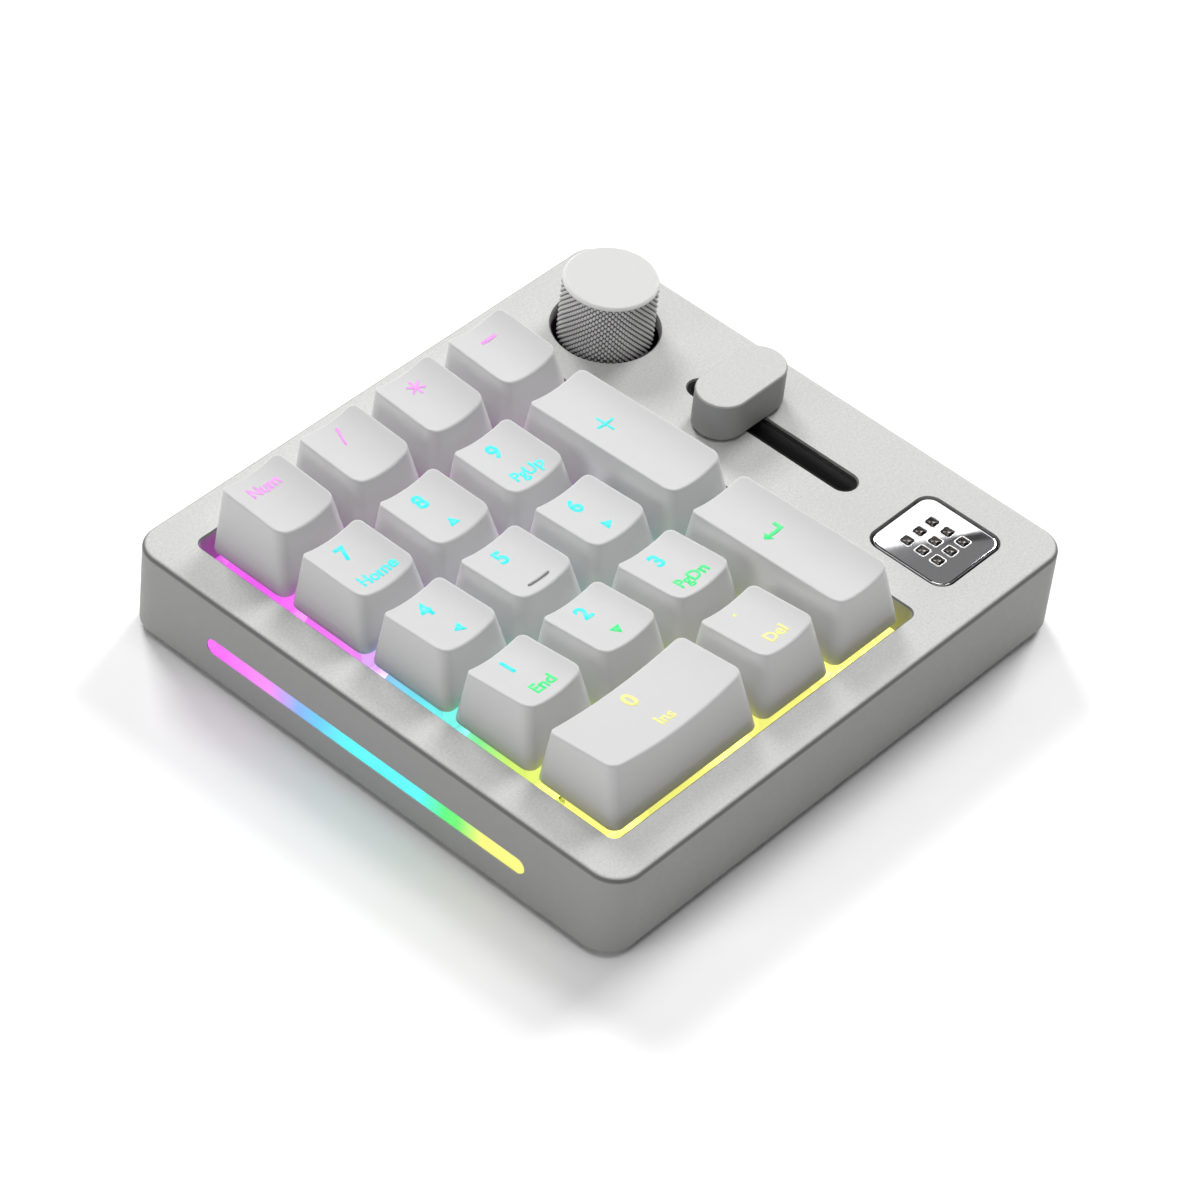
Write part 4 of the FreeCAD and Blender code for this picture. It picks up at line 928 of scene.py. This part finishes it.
def add_badge_marks():
    """Nine dark rounded squares with bright rims, on the badge."""
    low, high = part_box("badge")
    middle = Vector(((low.x + high.x) / 2, (low.y + high.y) / 2, 0))
    base, top = high.z - GRID_SUNK, high.z
    inner = GRID_HALF - GRID_RIM
    rims, wells = bmesh.new(), bmesh.new()
    for column in (-1, 0, 1):
        for row in (-1, 0, 1):
            hub = middle + Vector((column * GRID_PITCH, row * GRID_PITCH, 0))
            loop = [rounded_square(hub, GRID_HALF, GRID_OUTER_CORNER, base),
                    rounded_square(hub, GRID_HALF, GRID_OUTER_CORNER, top + GRID_EDGE),
                    rounded_square(hub, GRID_HALF - GRID_RIM / 2, GRID_CREST_CORNER, top + GRID_CREST),
                    rounded_square(hub, inner, GRID_INNER_CORNER, top + GRID_EDGE),
                    rounded_square(hub, inner, GRID_INNER_CORNER, base)]
            stitch(rims, loop + [loop[0]], None, None)
            plug = [rounded_square(hub, inner, GRID_INNER_CORNER, base),
                    rounded_square(hub, inner, GRID_INNER_CORNER, top + GRID_WELL)]
            stitch(wells, plug, hub + Vector((0, 0, base)), hub + Vector((0, 0, top + GRID_WELL)))
    bmesh.ops.remove_doubles(rims, verts=rims.verts, dist=WELD)
    add_piece("badge_grid_rims", rims, "satin", "case")
    add_piece("badge_grid_wells", wells, "dark_chrome", "case")


SPRING_RADIUS = 2.0 * MM
SPRING_WIRE = 0.17 * MM
SPRING_TURNS = 7
STEPS_PER_TURN = 20
SPRING_SIDES = 8


def add_spring(key, first):
    """A key switch's coil spring."""
    low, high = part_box("switch_springs")
    stem_low, stem_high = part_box(f"{key}_stem")
    middle = Vector(((stem_low.x + stem_high.x) / 2, (stem_low.y + stem_high.y) / 2, 0))
    bottom, top = low.z + SPRING_WIRE, high.z - SPRING_WIRE
    steps = SPRING_TURNS * STEPS_PER_TURN
    pitch = (top - bottom) / SPRING_TURNS
    rings = []
    for step in range(steps + 1):
        angle = math.tau * SPRING_TURNS * step / steps
        outward = Vector((math.cos(angle), math.sin(angle), 0))
        along = Vector((-math.sin(angle), math.cos(angle), pitch / (math.tau * SPRING_RADIUS))).normalized()
        across = along.cross(outward)
        hub = middle + outward * SPRING_RADIUS + Vector((0, 0, bottom + (top - bottom) * step / steps))
        rings.append([hub + (outward * math.cos(a) + across * math.sin(a)) * SPRING_WIRE
                      for a in (math.tau * k / SPRING_SIDES for k in range(SPRING_SIDES))])
    bm = bmesh.new()
    stitch(bm, rings, sum(rings[0], Vector()) / SPRING_SIDES, sum(rings[-1], Vector()) / SPRING_SIDES)
    replaced = ["switch_springs"] if first else ()
    piece = add_piece(f"{key}_spring", bm, "steel", "case", replaced)
    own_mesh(piece)


# ---------------------------------------------------------------- put together
def add_floor():
    """A plain pale floor, level with the feet."""
    bm = bmesh.new()
    half = FLOOR_SIZE / 2
    corners = ((-half, -half), (half, -half), (half, half), (-half, half))
    bm.faces.new([bm.verts.new((x, y, CAD_BOX[0].z)) for x, y in corners])
    mesh = bpy.data.meshes.new("floor")
    bm.to_mesh(mesh)
    bm.free()
    floor = bpy.data.objects.new("floor", mesh)
    bpy.context.scene.collection.objects.link(floor)
    mesh.materials.append(finish("floor_paper", (0.97, 0.97, 0.97), 0.85, grain=1.0 * MM,
                                 depth=0.01 * MM, mottle=0.01, mottle_size=0.2))


bpy.context.scene.view_settings.view_transform = "Standard"
add_camera()
add_floor()
add_world(SURROUNDING_LIGHT)
add_cards()
for name, place, size, power in STUDIO_LIGHTS:
    add_light(name, place, size, power)

for node, material in KEPT_NODES.items():
    paint_node(node, material)
for index, (key, profile, legends) in enumerate(KEYS):
    paint_node(f"{key}_stem", "stem")
    shape = add_keycap(key, profile)
    for number, (words, place, kind) in enumerate(legends):
        add_legend(key, number, shape, words, place, kind)
    if key == "five":
        add_homing_bar(shape)
    add_spring(key, index == 0)
for key in ("plus", "enter", "zero"):
    paint_node(f"{key}_stabiliser_wire", "steel")
add_knob()
add_badge()
add_badge_marks()
